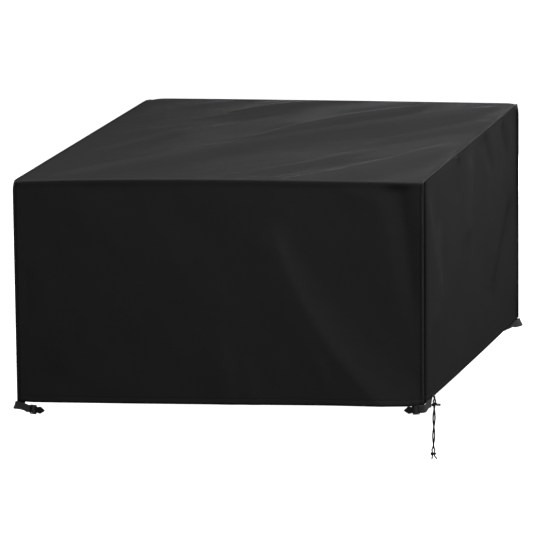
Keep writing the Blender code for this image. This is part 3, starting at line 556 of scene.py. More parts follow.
def finish_named(name):
    """The material of that name, made the first time that a piece asks for it."""
    if name not in bpy.data.materials or not bpy.data.materials[name].get("cover_look"):
        old = bpy.data.materials.get(name)
        if old is not None:
            old.name = f"{name}_plain"
        make, group = FINISHES[name]
        made = make(getattr(bpy.context.scene, group))
        made.name = name
        made["cover_look"] = True
    return bpy.data.materials[name]


# ---------------------------------------------------------------------------------------------
# Mesh building
# ---------------------------------------------------------------------------------------------
def put(name, mesh, finish, stands_for=()):
    """Makes a mesh a piece of the cover."""
    mesh.materials.append(finish_named(finish))
    mesh.shade_smooth()
    piece = bpy.data.objects.new(name, mesh)
    bpy.context.scene.collection.objects.link(piece)
    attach(piece, "root")
    if stands_for:
        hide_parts(*stands_for)
    return piece


def add_piece(name, points, faces, cut, finish, slot, stands_for=(), **attributes):
    """A piece from its points and faces. cut is each point's place on the cut cloth in metres."""
    mesh = bpy.data.meshes.new(name)
    mesh.from_pydata(np.asarray(points).tolist(), [], faces)
    layer = mesh.uv_layers.new(name="cut")
    corner = np.empty(len(mesh.loops), np.int32)
    mesh.loops.foreach_get("vertex_index", corner)
    layer.data.foreach_set("uv", np.asarray(cut, np.float32)[corner].ravel())
    for attribute, values in attributes.items():
        held = mesh.attributes.new(attribute, "FLOAT", "POINT")
        held.data.foreach_set("value", np.asarray(values, np.float32))
    return put(name, mesh, finish, stands_for)


def turn_faces_out(piece):
    mesh = bmesh.new()
    mesh.from_mesh(piece.data)
    bmesh.ops.recalc_face_normals(mesh, faces=mesh.faces)
    mesh.to_mesh(piece.data)
    mesh.free()


def paired(a, b):
    """Two arrays stretched over one grid, as two numbers for each of its points."""
    return np.stack(np.broadcast_arrays(a, b), axis=-1).reshape(-1, 2)


def grid_faces(rows, columns):
    """Quads of a grid whose points run along each row."""
    index = np.arange(rows * columns).reshape(rows, columns)
    a, b, c, d = index[:-1, :-1], index[:-1, 1:], index[1:, 1:], index[1:, :-1]
    return np.stack((a, b, c, d), axis=-1).reshape(-1, 4).tolist()


def tube_faces(rings, sides):
    """The faces of a closed tube: quads round it, and one face over each end."""
    index = np.arange(rings * sides).reshape(rings, sides)
    after = np.roll(index, -1, axis=1)
    quads = np.stack((index[:-1], after[:-1], after[1:], index[1:]), axis=-1)
    return [*quads.reshape(-1, 4).tolist(), index[0, ::-1].tolist(), index[-1].tolist()]


def spaced(start, end, pitch):
    """Evenly spaced numbers from start up to but not including end."""
    count = max(1, round((end - start) / pitch))
    return [lerp(start, end, i / count) for i in range(count)]


SEAM_COLUMNS = (0.0, 0.0012, 0.0030, 0.0048, 0.0060, 0.0068, 0.0080, 0.0105, 0.0150)
# The turned hem from its inner top round the edge to the outside: height above it, how far in.
HEM_ROLL = (
    (0.0245, 0.0021), (0.0225, 0.0021), (0.0205, 0.0022), (0.0180, 0.0030), (0.0130, 0.0036),
    (0.0075, 0.0037), (0.0030, 0.0035), (0.0010, 0.0029), (0.0000, 0.0018), (0.0008, 0.0007),
)
HEM_ROWS = (0.0022, 0.0060, 0.0105, 0.0150, 0.0180, 0.0195, 0.0205, 0.0215, 0.0228, 0.0250, 0.0300)
HEM_END = 0.037  # the even rows begin at this height
BEND_ROWS = 6
END_COLUMNS = (0.0, 0.0015, 0.0035, 0.0055, 0.0075, 0.0100, 0.0140)
END_ROWS = (0.016, 0.011, 0.0075, 0.0050, 0.0032, 0.0015, 0.0)  # down from an end panel's top
HEM_STITCH = 0.0205  # height of the hem's seam above its edge
HEM_PUFF = 0.0004  # how far the hem's channel stands proud
STITCH_DENT = 0.0003  # how far a row of stitches pulls the cloth in
SEAM_STITCH = 0.0068  # from the seam to the row of stitches beside it


def hem_lift(height):
    """The outside of the hem: a puffed channel under a sewn dent."""
    return HEM_PUFF * bump(height - 0.010, 0.010) - STITCH_DENT * bump(height - HEM_STITCH, 0.0024)


def seam_dent(distance):
    return -STITCH_DENT * bump(distance - SEAM_STITCH, 0.0020)


def thicken(piece, thickness):
    thick = piece.modifiers.new("thickness", "SOLIDIFY")
    thick.thickness = thickness
    thick.offset = -1
    thick.use_even_offset = True


def hem_painted_shade(height):
    """Painted shade at this height above the hem: dark along its turned edge and in the dent of its
    stitches.
    """
    at_edge = 0.96 * np.exp(-((height / 0.0044) ** 2))
    return np.maximum(at_edge, 0.16 * bump(height - HEM_STITCH, 0.0022))


def painted_fold_light(face, places):
    """Painted light and shade from the folds: up to 1, lighter, on a fold's crest, down to -1,
    darker, in a crease.
    """
    height = sum(fold_heights(fold, places) for fold in FOLDS if fold.face == face)
    return np.clip(height / 0.006, -1, 1)


def columns_between(edge, first, half, pitch):
    """Places from -half to half: close together as edge says at both sides, then at this pitch."""
    left = [-half + d for d in edge] + spaced(first - half, half - first, pitch)
    return np.array(left + [half - first] + [half - d for d in reversed(edge)])


def half_length(wall_pitch, top_pitch):
    """Distances along the main panel from the top of one hem's seam to the middle of the top."""
    wall = [*HEM_ROWS, *spaced(HEM_END, WALL - 0.012, wall_pitch), WALL - 0.012, WALL - 0.005]
    bend = [WALL + ARC * i / BEND_ROWS for i in range(BEND_ROWS + 1)]
    top = [WALL + ARC + 0.005, *spaced(WALL + ARC + 0.012, CUT_LENGTH / 2, top_pitch)]
    return np.array(wall + bend + top)


def make_main_panel(look, sizes):
    columns = columns_between(SEAM_COLUMNS, 0.021, WIDTH / 2, sizes.across_pitch)
    front = half_length(sizes.front_pitch, sizes.top_pitch)
    back = CUT_LENGTH - half_length(sizes.back_pitch, sizes.top_pitch)[::-1]
    roll, roll_in = np.array(HEM_ROLL).T
    outer = np.concatenate((front, [CUT_LENGTH / 2], back))
    run = np.concatenate((roll, outer, CUT_LENGTH - roll[::-1]))
    inward = np.concatenate((roll_in, np.zeros(len(outer)), roll_in[::-1]))
    developed = np.concatenate((-roll, outer, CUT_LENGTH + roll[::-1]))
    height = np.minimum(run, CUT_LENGTH - run)
    outside = inward == 0
    pulled = 1 - 0.0045 / (WIDTH / 2) * smooth(inward / 0.0030)
    x, v = np.broadcast_arrays(columns * pulled[:, None], run[:, None])
    seam = WIDTH / 2 - np.abs(columns)
    dent = np.where(outside[:, None], seam_dent(seam), 0.0)
    lift = np.where(outside, hem_lift(height), -inward)[:, None] + dent
    # crest holds painted light on fold crests and painted shade in creases, on the front, the back
    # and the top.
    crest = np.zeros(x.shape)
    for face, on_it, across in (
        (FRONT, v < WALL, v - DROP),
        (BACK, v > CUT_LENGTH - WALL, CUT_LENGTH - v - DROP),
        (TOP, (v > WALL + ARC) & (v < CUT_LENGTH - WALL - ARC), v - CUT_LENGTH / 2),
    ):
        crest[on_it] = painted_fold_light(face, paired(x[on_it], across[on_it]))
    # Painted shade: dark along the hems and their stitches, in a band just under each top bend, and
    # in a line beside each welt.
    shade = np.maximum(hem_painted_shade(height), 0.22 * bump(height - (WALL - 0.010), 0.014))
    shade = np.maximum(shade[:, None], 0.45 * bump(seam - 0.0085, 0.0060))
    piece = add_piece(
        "main_panel_cloth", main_panel_places(x, v, lift), grid_faces(*x.shape),
        paired(columns, developed[:, None]), "coated_cloth", "coated_cloth", ["main_panel"],
        crest=crest.ravel(), shade=shade.ravel(),
    )
    thicken(piece, look.thickness)


def make_end_panel(side, look, sizes):
    inset = CLOTH + SEWN_GAP
    radius = BEND - inset
    reach = DEPTH / 2 - inset
    roof = CLOTH - inset
    tall = DROP + roof
    columns = columns_between(END_COLUMNS, 0.020, reach, sizes.end_pitch)
    outer = [*HEM_ROWS, *spaced(HEM_END, tall - END_ROWS[0], sizes.end_pitch)]
    outer += [tall - d for d in END_ROWS]
    roll, roll_in = np.array(HEM_ROLL).T
    height = np.concatenate((roll, outer))[:, None]
    inward = np.concatenate((roll_in, np.zeros(len(outer))))[:, None]
    developed = np.concatenate((-roll, outer))[:, None]
    past = np.clip(np.abs(columns) - (reach - radius), 0, radius)
    fall = radius - np.sqrt(np.clip(radius**2 - past**2, 0, None))
    z = height - smooth((height - (tall - 0.060)) / 0.060) * fall - DROP
    s = columns * (1 - 0.0040 / reach * smooth(inward / 0.0030))
    upright, below = reach - np.abs(s), roof - fall - z
    tuck = -0.0014 * (1 - smooth(np.minimum(upright, below) / 0.0060))
    lift = np.where(inward == 0, hem_lift(height) + tuck, -inward)
    # Painted shade: dark along the hem, in a dark band beside each upright seam that fades out over
    # four times its width, and just under the top seam.
    shade = hem_painted_shade(height)
    for dark, distance, width in (
        (0.97, upright - 0.018, look.seam_shadow),
        (0.45, upright, 4 * look.seam_shadow),
        (0.85, below, 0.0055),
    ):
        shade = np.maximum(shade, dark * (1 - smooth(distance / width)))
    piece = add_piece(
        f"{side}_panel_cloth", end_panel_places(side, s, z, lift), grid_faces(*s.shape),
        paired(columns, developed), "coated_cloth", "coated_cloth", [f"{side}_panel"],
        crest=painted_fold_light(side, paired(s * SIGN[side], z)), shade=shade.ravel(),
    )
    thicken(piece, look.thickness)


# The seam's welt in its own section: a along the main panel away from the seam, b out of it.
WELT_SECTION = [
    (0.0062, 0.0000), (0.0060, 0.0006), (0.0048, 0.0011), (0.0028, 0.0014), (0.0010, 0.0013),
    (-0.0004, 0.0006), (-0.0010, -0.0006), (-0.0010, -0.0022), (-0.0007, -0.0038),
    (0.0000, -0.0044), (0.0005, -0.0038), (0.0004, -0.0022), (0.0002, -0.0004), (0.0010, -0.0001),
    (0.0048, -0.0001),
]
WELT_PAINTED_LIGHT = {LEFT: -2.5, RIGHT: 4.0}  # painted highlight on one side, painted shade on the other


def seam_runs(pitch):
    """Distances along the main panel's side seam, closer together round the bends."""
    wall = [*spaced(0.0004, WALL - 0.004, pitch), WALL - 0.004]
    bend = [WALL + ARC * i / 8 for i in range(9)]
    top = [WALL + ARC + 0.004, *spaced(WALL + ARC + 0.012, CUT_LENGTH / 2, pitch)]
    front = np.array(wall + bend + top)
    return np.concatenate((front, [CUT_LENGTH / 2], (CUT_LENGTH - front)[::-1]))


def make_welt(side, sizes):
    """The narrow strip that is folded over the seam between the main panel and an end panel."""
    v = seam_runs(sizes.front_pitch)[:, None]
    section = np.array(WELT_SECTION)
    inward, lift = section.T
    points = main_panel_places(SIGN[side] * (WIDTH / 2 - inward), v, lift)
    points = points.reshape(len(v), len(section), 3)
    if side == RIGHT:
        points = points[:, ::-1]
    lengths = np.concatenate(([0], np.cumsum(np.hypot(*np.diff(section, axis=0).T))))
    # Painted light and shade on the welt, on the front wall: crest makes the right welt lighter and
    # the left one darker, turned darkens the part folded onto the end panel, and rolled darkens it
    # at the hems.
    upright = smooth((WALL - 0.010 - v) / 0.040)
    rolled = 0.25 * bump(np.minimum(v, CUT_LENGTH - v), 0.004)
    turned = 0.90 * upright * smooth((0.0002 - inward) / 0.0008)
    add_piece(
        f"seam_welt_{side}", points.reshape(-1, 3), tube_faces(len(v), len(section)),
        paired(lengths, v), "coated_cloth", "coated_cloth",
        crest=np.broadcast_to(WELT_PAINTED_LIGHT[side] * upright, turned.shape).ravel(),
        shade=np.maximum(rolled, turned).ravel(),
    )


# ---------------------------------------------------------------------------------------------
# Stitching
# ---------------------------------------------------------------------------------------------
STITCH_SIDES = 5


# Rings of a stitch of length 1 and thickness 1: how far along, how thick, how far above the cloth.
STITCH_RINGS = (
    (0.02, 0.35, -0.45), (0.20, 0.95, 0.10), (0.50, 1.00, 0.22), (0.80, 0.95, 0.10),
    (0.98, 0.35, -0.45),
)


def stitch_template():
    """The points of one stitch and where each lies on the thread: a bar whose ends dip in."""
    along, size, up = np.array(STITCH_RINGS).T[:, :, None]
    share = np.arange(STITCH_SIDES) / STITCH_SIDES
    angle = 2 * math.pi * share
    y, z = 0.5 * size * np.cos(angle), up + 0.5 * size * np.sin(angle)
    points = np.stack(np.broadcast_arrays(along, y, z), axis=-1).reshape(-1, 3)
    return points, paired(share, along)


class Stitches:
    """Collects rows of stitches, and makes them into one piece."""

    def __init__(self, look):
        self.length, self.thick = look.stitch_length, look.stitch_thickness
        self.template, self.cut = stitch_template()
        self.starts, self.ends, self.ups = [], [], []

    def row(self, points, ups):
        """Stitches along a line of points on the cloth."""
        steps = np.linalg.norm(np.diff(points, axis=0), axis=1)
        run = np.concatenate(([0], np.cumsum(steps)))
        count = max(1, int(run[-1] / (self.length * 1.22)))
        places = np.linspace(0, run[-1], count + 1)
        for share, store, values in (
            (0.0, self.starts, points), (0.82, self.ends, points), (0.5, self.ups, ups),
        ):
            at = places[:-1] + share * (places[1] - places[0])
            store.append(np.stack([np.interp(at, run, part) for part in values.T], axis=1))

    def made(self, name):
        starts, ends, ups = (np.concatenate(part) for part in (self.starts, self.ends, self.ups))
        ahead = ends - starts
        long = np.linalg.norm(ahead, axis=1)
        ahead = ahead / long[:, None]
        ups = ups - (ups * ahead).sum(axis=1)[:, None] * ahead
        ups /= np.linalg.norm(ups, axis=1)[:, None]
        aside = np.cross(ups, ahead)
        shape = self.template
        points = (
            starts[:, None] + (shape[None, :, :1] * long[:, None, None]) * ahead[:, None]
            + shape[None, :, 1:2] * self.thick * aside[:, None]
            + shape[None, :, 2:] * self.thick * ups[:, None]
        )
        one = tube_faces(len(STITCH_RINGS), STITCH_SIDES)
        firsts = range(0, len(starts) * len(shape), len(shape))
        faces = [[first + k for k in face] for first in firsts for face in one]
        scale = np.array((self.thick * math.pi, float(long.mean())))
        cut = np.tile(self.cut * scale, (len(starts), 1))
        add_piece(name, points.reshape(-1, 3), faces, cut, "thread", "coated_cloth")


def on_main(x, v, stitches):
    def place(across, along):
        seam = WIDTH / 2 - np.abs(across)
        height = np.minimum(along, CUT_LENGTH - along)
        lift = np.where(height < WALL, hem_lift(height), 0.0) + seam_dent(seam)
        return main_panel_places(across, along, lift)

    stitches.row(*facing_of(place, *paired(x, v).astype(float).T))


def on_end(side, s, z, stitches):
    def place(across, along):
        return end_panel_places(side, across, along, hem_lift(along + DROP))

    stitches.row(*facing_of(place, *paired(s, z).astype(float).T))


# ---------------------------------------------------------------------------------------------
# Webbing, buckles
# ---------------------------------------------------------------------------------------------
def between(a, b, c, d, t):
    """The place at share t of the way from b to c on a smooth curve through all four."""
    return 0.5 * (
        2 * b + (c - a) * t + (2 * a - 5 * b + 4 * c - d) * t * t
        + (3 * b - a - 3 * c + d) * t * t * t
    )


def curve_through(stops, spacing):
    """Points at about this spacing on a smooth curve through stops, each with its upward way."""
    first = tuple(2 * near - far for near, far in zip(stops[0], stops[1]))
    last = tuple(2 * near - far for near, far in zip(stops[-1], stops[-2]))
    guide = [first, *stops, last]
    made = []
    for four in zip(guide, guide[1:], guide[2:], guide[3:]):
        steps = max(1, round((four[2][0] - four[1][0]).length / spacing))
        for i in range(steps):
            made.append(tuple(between(*(stop[k] for stop in four), i / steps) for k in (0, 1)))
    return [*made, stops[-1]]


WEB_SECTION = [  # across the thickness and across the width, in shares of each
    (-0.34, -0.500), (-0.50, -0.470), (-0.47, -0.400), (-0.50, 0.000), (-0.47, 0.400),
    (-0.50, 0.470), (-0.34, 0.500), (0.34, 0.500), (0.50, 0.470), (0.47, 0.400), (0.50, 0.000),
    (0.47, -0.400), (0.50, -0.470), (0.34, -0.500),
]


def make_ribbon(name, path, stands_for):
    """Webbing along a path of points, with its width along each point's upward direction."""
    points, cut = [], []
    run = 0.0
    for i, (point, upward) in enumerate(path):
        if i:
            run += (point - path[i - 1][0]).length
        ahead = (path[min(i + 1, len(path) - 1)][0] - path[max(i - 1, 0)][0]).normalized()
        up = (upward - upward.dot(ahead) * ahead).normalized()
        side = ahead.cross(up)
        for s, u in WEB_SECTION:
            points.append(point + side * WEB_THICK * s + up * WEB_WIDTH * u)
            cut.append((u * WEB_WIDTH, run))
    faces = tube_faces(len(path), len(WEB_SECTION))
    turn_faces_out(add_piece(name, points, faces, cut, "webbing", "webbing", [stands_for]))


PLUG_THICK = 0.0032
LADDER_LONG, LADDER_HALF = 0.022, 0.0154
SLOT_HALF = WEB_WIDTH / 2 + 0.0006
SLOTS = ((0.0028, 0.0090), (0.0124, 0.0172))
BAR_MIDDLE = (SLOTS[0][1] + SLOTS[1][0]) / 2
PLUG_OUTLINE = [  # half of it, along the upper side: x, z
    (0.000, 0.0142), (0.0014, LADDER_HALF), (0.0204, LADDER_HALF), (LADDER_LONG, 0.0138),
    (0.0233, 0.0094), (0.0292, 0.0108), (0.0344, 0.0120), (0.0378, 0.0106), (0.0482, 0.0024),
    (0.0504, 0.0000),
]
GROOVE = (0.0252, 0.0420)
GROOVE_Z = (0.0031, 0.0064)
GROOVE_FLOOR = 0.0012
RIBS = (0.0262, 0.0278, 0.0294, 0.0310)  # places along x of the small grips on the arms
RIB_Z, RIB_WIDE, RIB_PROUD = (0.0074, 0.0100), 0.0007, 0.0003

SOCKET_LONG, SOCKET_HALF, SOCKET_THICK = 0.032, 0.0154, 0.0076
SOCKET_OUTLINE = [
    (0.000, 0.0141), (0.0016, SOCKET_HALF), (0.0300, SOCKET_HALF), (SOCKET_LONG, 0.0145),
]
SOCKET_SLOT = (0.0030, 0.0072)
MOUTH_FROM, MOUTH_HALF, MOUTH_THICK = 0.0098, 0.0128, 0.0044
WINDOW, WINDOW_Z = (0.0125, 0.0225), (0.010, 0.022)
ROUND_EDGE = 0.00035


def slab(outline, thick, middle=0.0):
    """An outline in x, z, thickened about y = middle, as a temporary object."""
    mesh = bmesh.new()
    near = mesh.faces.new([mesh.verts.new((x, middle - thick / 2, z)) for x, z in outline])
    grown = bmesh.ops.extrude_face_region(mesh, geom=[near])
    moved = [item for item in grown["geom"] if isinstance(item, bmesh.types.BMVert)]
    bmesh.ops.translate(mesh, verts=moved, vec=(0, thick, 0))
    bmesh.ops.recalc_face_normals(mesh, faces=mesh.faces)
    data = bpy.data.meshes.new("slab")
    mesh.to_mesh(data)
    mesh.free()
    made = bpy.data.objects.new("slab", data)
    bpy.context.scene.collection.objects.link(made)
    return made


def block(low, high):
    outline = [(low[0], low[2]), (high[0], low[2]), (high[0], high[2]), (low[0], high[2])]
    return slab(outline, high[1] - low[1], (low[1] + high[1]) / 2)


def carved(base, cutters, joined=()):
    """The mesh of a base after its cuts and joins, with its edges rounded."""
    for operation, tools in (("DIFFERENCE", cutters), ("UNION", joined)):
        for tool in tools:
            step = base.modifiers.new("cut", "BOOLEAN")
            step.operation = operation
            step.object = tool
    rounded = base.modifiers.new("rounded", "BEVEL")
    rounded.width = ROUND_EDGE
    rounded.segments = 2
    rounded.limit_method = "ANGLE"
    rounded.angle_limit = math.radians(28)
    bpy.context.view_layer.update()
    graph = bpy.context.evaluated_depsgraph_get()
    mesh = bpy.data.meshes.new_from_object(base.evaluated_get(graph))
    for used in (base, *cutters, *joined):
        bpy.data.objects.remove(used, do_unlink=True)
    return mesh


def plug_mesh():
    lower = [(x, -z) for x, z in reversed(PLUG_OUTLINE[:-1])]
    body = slab(PLUG_OUTLINE + lower, PLUG_THICK)
    deep = PLUG_THICK
    cutters = [block((a, -deep, -SLOT_HALF), (b, deep, SLOT_HALF)) for a, b in SLOTS]
    for face in (-1, 1):
        near, far = sorted((face * GROOVE_FLOOR / 2, face * deep))
        for arm in (-1, 1):
            low, high = sorted(arm * z for z in GROOVE_Z)
            cutters.append(block((GROOVE[0], near, low), (GROOVE[1], far, high)))
    proud = PLUG_THICK / 2 + RIB_PROUD
    ribs = []
    for x in RIBS:
        for arm in (-1, 1):
            low, high = sorted(arm * z for z in RIB_Z)
            ribs.append(block((x, -proud, low), (x + RIB_WIDE, proud, high)))
    return carved(body, cutters, ribs)


def socket_mesh():
    lower = [(x, -z) for x, z in reversed(SOCKET_OUTLINE)]
    body = slab(SOCKET_OUTLINE + lower, SOCKET_THICK)
    deep, past = SOCKET_THICK, SOCKET_LONG + 0.005
    cutters = [
        block((SOCKET_SLOT[0], -deep, -SLOT_HALF), (SOCKET_SLOT[1], deep, SLOT_HALF)),
        block((MOUTH_FROM, -MOUTH_THICK / 2, -MOUTH_HALF), (past, MOUTH_THICK / 2, MOUTH_HALF)),
    ]
    for arm in (-1, 1):
        low, high = sorted(arm * z for z in WINDOW_Z)
        cutters.append(
            block((WINDOW[0], -MOUTH_THICK / 2, low), (WINDOW[1], MOUTH_THICK / 2, high))
        )
    return carved(body, cutters)


Stop = namedtuple("Stop", "inward along drop lean")
STRAP_OUT = 0.0108  # how far outside the front or the back the strap runs
LEVEL_ROUTE = (
    Stop(0.0048, 0.110, -0.0140, 0),
    Stop(0.0048, 0.090, -0.0135, 0),
    Stop(0.0054, 0.070, -0.0055, 0),
    Stop(0.0054, 0.054, 0.0060, 0),
    Stop(0.0046, 0.041, 0.0136, 0),
    Stop(-0.0004, 0.030, 0.0142, 0),
    Stop(-0.0082, 0.016, 0.0130, 18),
    Stop(-0.0100, 0.003, 0.0114, 26),
    Stop(-0.0062, -0.0080, 0.0106, 18),
    Stop(0.0035, -0.0107, 0.0106, 9),
    Stop(0.0160, -STRAP_OUT, 0.0122, 13),
    Stop(0.0290, -STRAP_OUT, 0.0156, 15),
)
HUNG_ROUTE = (  # it leaves the hem farther from the corner
    Stop(0.0048, 0.146, -0.0135, 0),
    Stop(0.0048, 0.131, -0.0110, 0),
    Stop(0.0056, 0.119, 0.0020, 0),
    Stop(0.0054, 0.109, 0.0150, 0),
    Stop(0.0044, 0.098, 0.0158, 0),
    Stop(-0.0002, 0.087, 0.0156, 0),
    Stop(-0.0044, 0.076, 0.0126, 0),
    Stop(-0.0050, 0.058, 0.0086, 4),
    Stop(-0.0052, 0.036, 0.0056, 6),
    Stop(-0.0064, 0.016, 0.0054, 6),
    Stop(-0.0072, 0.003, 0.0064, 6),
    Stop(-0.0044, -0.0078, 0.0082, 8),
)
LOW_ROUTE = (
    Stop(0.0048, 0.200, -0.0135, 0),
    Stop(0.0048, 0.175, -0.0115, 0),
    Stop(0.0052, 0.130, -0.0045, 0),
    Stop(0.0054, 0.090, 0.0016, 0),
    Stop(0.0054, 0.060, 0.0072, 0),
    Stop(0.0046, 0.041, 0.0134, 1),
    Stop(-0.0002, 0.030, 0.0146, 3),
    Stop(-0.0076, 0.016, 0.0148, 18),
    Stop(-0.0092, 0.003, 0.0148, 28),
    Stop(-0.0056, -0.0080, 0.0154, 18),
    Stop(0.0040, -0.0107, 0.0172, 8),
    Stop(0.0170, -STRAP_OUT, 0.0210, 12),
    Stop(0.0320, -STRAP_OUT, 0.0275, 15),
)
Strap = namedtuple("Strap", "side end route reach drop dip tail")
STRAPS = [
    Strap(LEFT, FRONT, LEVEL_ROUTE, 0.0470, 0.0208, 5, 0.018),
    Strap(RIGHT, FRONT, HUNG_ROUTE, 0.0120, 0.0100, 5, 0.008),
    Strap(RIGHT, BACK, LOW_ROUTE, 0.0510, 0.0350, 13, 0.010),
    Strap(LEFT, BACK, LEVEL_ROUTE, 0.0480, 0.0208, 8, 0.016),
]
LAYER = PLUG_THICK / 2 + WEB_THICK / 2 + 0.0004
TAIL_LAYER = LAYER + WEB_THICK + 0.0012
THREADING = [
    (-0.0080, -1.0), (0.0000, -1.0), (0.0040, -0.88), (0.0060, 0.0), (0.0080, 0.88),
    (BAR_MIDDLE, 1.05), (0.0138, 0.88), (0.0160, 0.0), (0.0160, -0.85),
]
TAB_BEHIND = 0.046  # from a long strap's sewn end to that of the short strap beside it
TAB_TURN = 0.028  # how far a short strap comes towards the corner as it turns inward
TAB_LIFT = 0.018
SOCKET_AT = 0.034


class CornerFrame:
    """Turns distances inward, along the end wall and down from a hem corner into places."""

    def __init__(self, side, end):
        corner = (SIGN[side] * WIDTH / 2, SIGN[end] * DEPTH / 2, -DROP)
        self.hem = Vector(settle(corner)[0])
        self.inward = Vector((-SIGN[side], 0, 0))
        self.along = Vector((0, -SIGN[end], 0))

    def place(self, inward, along, drop):
        return self.hem + self.inward * inward + self.along * along - Vector((0, 0, drop))

    def leaning(self, degrees):
        """Straight up at 0, and tipped inward above that."""
        lean = math.radians(degrees)
        return self.inward * math.sin(lean) + Vector((0, 0, math.cos(lean)))


def stood(place, x_axis, z_axis):
    """The matrix of a buckle part at a place, from the ways that its own x and z point."""
    turned = Matrix((x_axis, z_axis.cross(x_axis), z_axis)).transposed().to_4x4()
    return Matrix.Translation(place) @ turned


def plug_matrix(strap):
    corner = CornerFrame(strap.side, strap.end)
    place = corner.place(strap.reach, -STRAP_OUT - LAYER, strap.drop)
    return stood(place, corner.leaning(strap.dip + 90), corner.leaning(strap.dip))


def strap_path(strap):
    corner = CornerFrame(strap.side, strap.end)
    placed = plug_matrix(strap)
    upright = placed.col[2].xyz

    def threaded(x, layers):
        return placed @ Vector((x, 0, 0)) - corner.along * layers * LAYER, upright

    route = [
        (corner.place(stop.inward, stop.along, stop.drop), corner.leaning(stop.lean))
        for stop in strap.route
    ]
    lead = curve_through([*route, threaded(*THREADING[0])], 0.0030)
    behind = TAIL_LAYER / LAYER
    turn_back = [(0.0138, -1.0 - (behind - 1.0) * 0.55), (0.0078, -behind), (-0.0020, -behind)]
    ends = [*THREADING, *turn_back, (-strap.tail, -behind)]
    return lead[:-1] + curve_through([threaded(*stop) for stop in ends], 0.0012)


def tab_path(corner, strap):
    sewn = strap.route[0].along + TAB_BEHIND
    stops = [
        (0.0048, 0.030), (0.0048, 0.0), (0.0056, -0.014), (0.0120, -0.0245), (0.0220, -0.0275),
        (SOCKET_AT - 0.0012, -TAB_TURN),
    ]
    upright = corner.leaning(0)
    places = [corner.place(inward, sewn + along, -TAB_LIFT) for inward, along in stops]
    return curve_through([(place, upright) for place in places], 0.003)


def socket_matrix(corner, strap):
    along = strap.route[0].along + TAB_BEHIND - TAB_TURN
    return stood(corner.place(SOCKET_AT, along, -TAB_LIFT), corner.inward, corner.leaning(0))


def add_plastic(name, mesh, matrix, stands_for):
    data = mesh.copy()
    data.name = name
    data.materials.clear()
    data.transform(matrix)
    put(name, data, "buckle_plastic", [stands_for])
    data.set_sharp_from_angle(angle=math.radians(40))


# ---------------------------------------------------------------------------------------------
# Drawstring
# ---------------------------------------------------------------------------------------------
EXIT_BACK, EXIT_UP = 0.103, 0.0105
EXIT_SPREAD = 0.0036  # each strand's distance from the middle of the opening
HANG_OUT = 0.0080
HANG_SWAY = (-0.007, -0.010)
TOP_Z, HITCH_Z, KNOT_Z, END_Z = -0.7310, -0.7435, -0.9035, -0.9205
FULL_TURN = 0.115
FIRST_ANGLE = math.radians(20)
TAIL_FLARE = {-1: 0.0075, 1: 0.0022}  # how far each free end stands away under the knot
APART = CORD / 2 + 0.0005
OPENING_Z, OPENING_HALF, OPENING = -0.8895, 0.0095, 0.0026


def cord_exit():
    hem = lerp(HEM_SHIFT[RIGHT, FRONT][2], HEM_SHIFT[RIGHT, BACK][2], EXIT_BACK / DEPTH)
    share = 1 - EXIT_UP / DROP
    z = EXIT_UP + hem * (1 - share) - DROP
    return Vector(end_panel_places(RIGHT, EXIT_BACK - DEPTH / 2, z)[0])


def strands_middle(z):
    """The middle line between the two hanging strands."""
    start = cord_exit()
    share = (TOP_Z - z) / (TOP_Z - KNOT_Z)
    return Vector((
        start.x + HANG_OUT + HANG_SWAY[0] * share, start.y + HANG_SWAY[1] * share, z
    ))


def cord_route(hand):
    """One strand, hand -1 or 1: out of the wall, down, round its fellow and out of the knot."""
    start = cord_exit()
    spread = Vector((0, hand * EXIT_SPREAD, 0))
    route = [
        start + spread + Vector((-0.0018, 0, 0)),
        start + spread + Vector((SEWN_GAP, 0, 0)),
        start + spread + Vector((0.0042, 0, -0.0009)),
        start + spread * 0.9 + Vector((0.0078, 0, -0.0056)),
        strands_middle(start.z - 0.0120) + spread * 0.8,
    ]
    steps = 24
    for i in range(steps + 1):
        z = lerp(TOP_Z, KNOT_Z, i / steps)
        angle = FIRST_ANGLE + 2 * math.pi * (TOP_Z - z) / FULL_TURN
        apart = APART + OPENING * float(bump(z - OPENING_Z, OPENING_HALF))
        around = Vector((math.cos(angle), math.sin(angle), 0))
        route.append(strands_middle(z) + hand * apart * around)
    flare = (route[-1] - strands_middle(KNOT_Z)).normalized() * TAIL_FLARE[hand]
    route.append(route[-1] + flare * 0.15 - Vector((0, 0, 0.0065)))
    route.append(route[-1] + flare * 0.50 - Vector((0, 0, 0.0060)))
    last = route[-1] + flare * 0.35
    return [*route, Vector((last.x, last.y, END_Z))]


ROPE_SIDES, BRAID_STRANDS, BRAID_PITCH = 20, 4, 0.0058
KNOT_CORD = 0.0018  # radius of the cord that is pulled tight in the hitch and the knot
BORE = APART + CORD / 2 + 0.0005  # radius of the space that both strands fill
# A short end of the hitch: out from the bore, sideways and up, for the upper one of the two.
STUB = (
    (-0.0004, 0.0008, 0.0014), (0.0030, 0.0008, 0.0018), (0.0070, 0.0006, 0.0018),
    (0.0110, 0.0004, 0.0018), (0.0145, 0.0002, 0.0016),
)
HOLE_WIDE, HOLE_TALL, HOLE_POINTS = 0.0066, 0.0040, 20


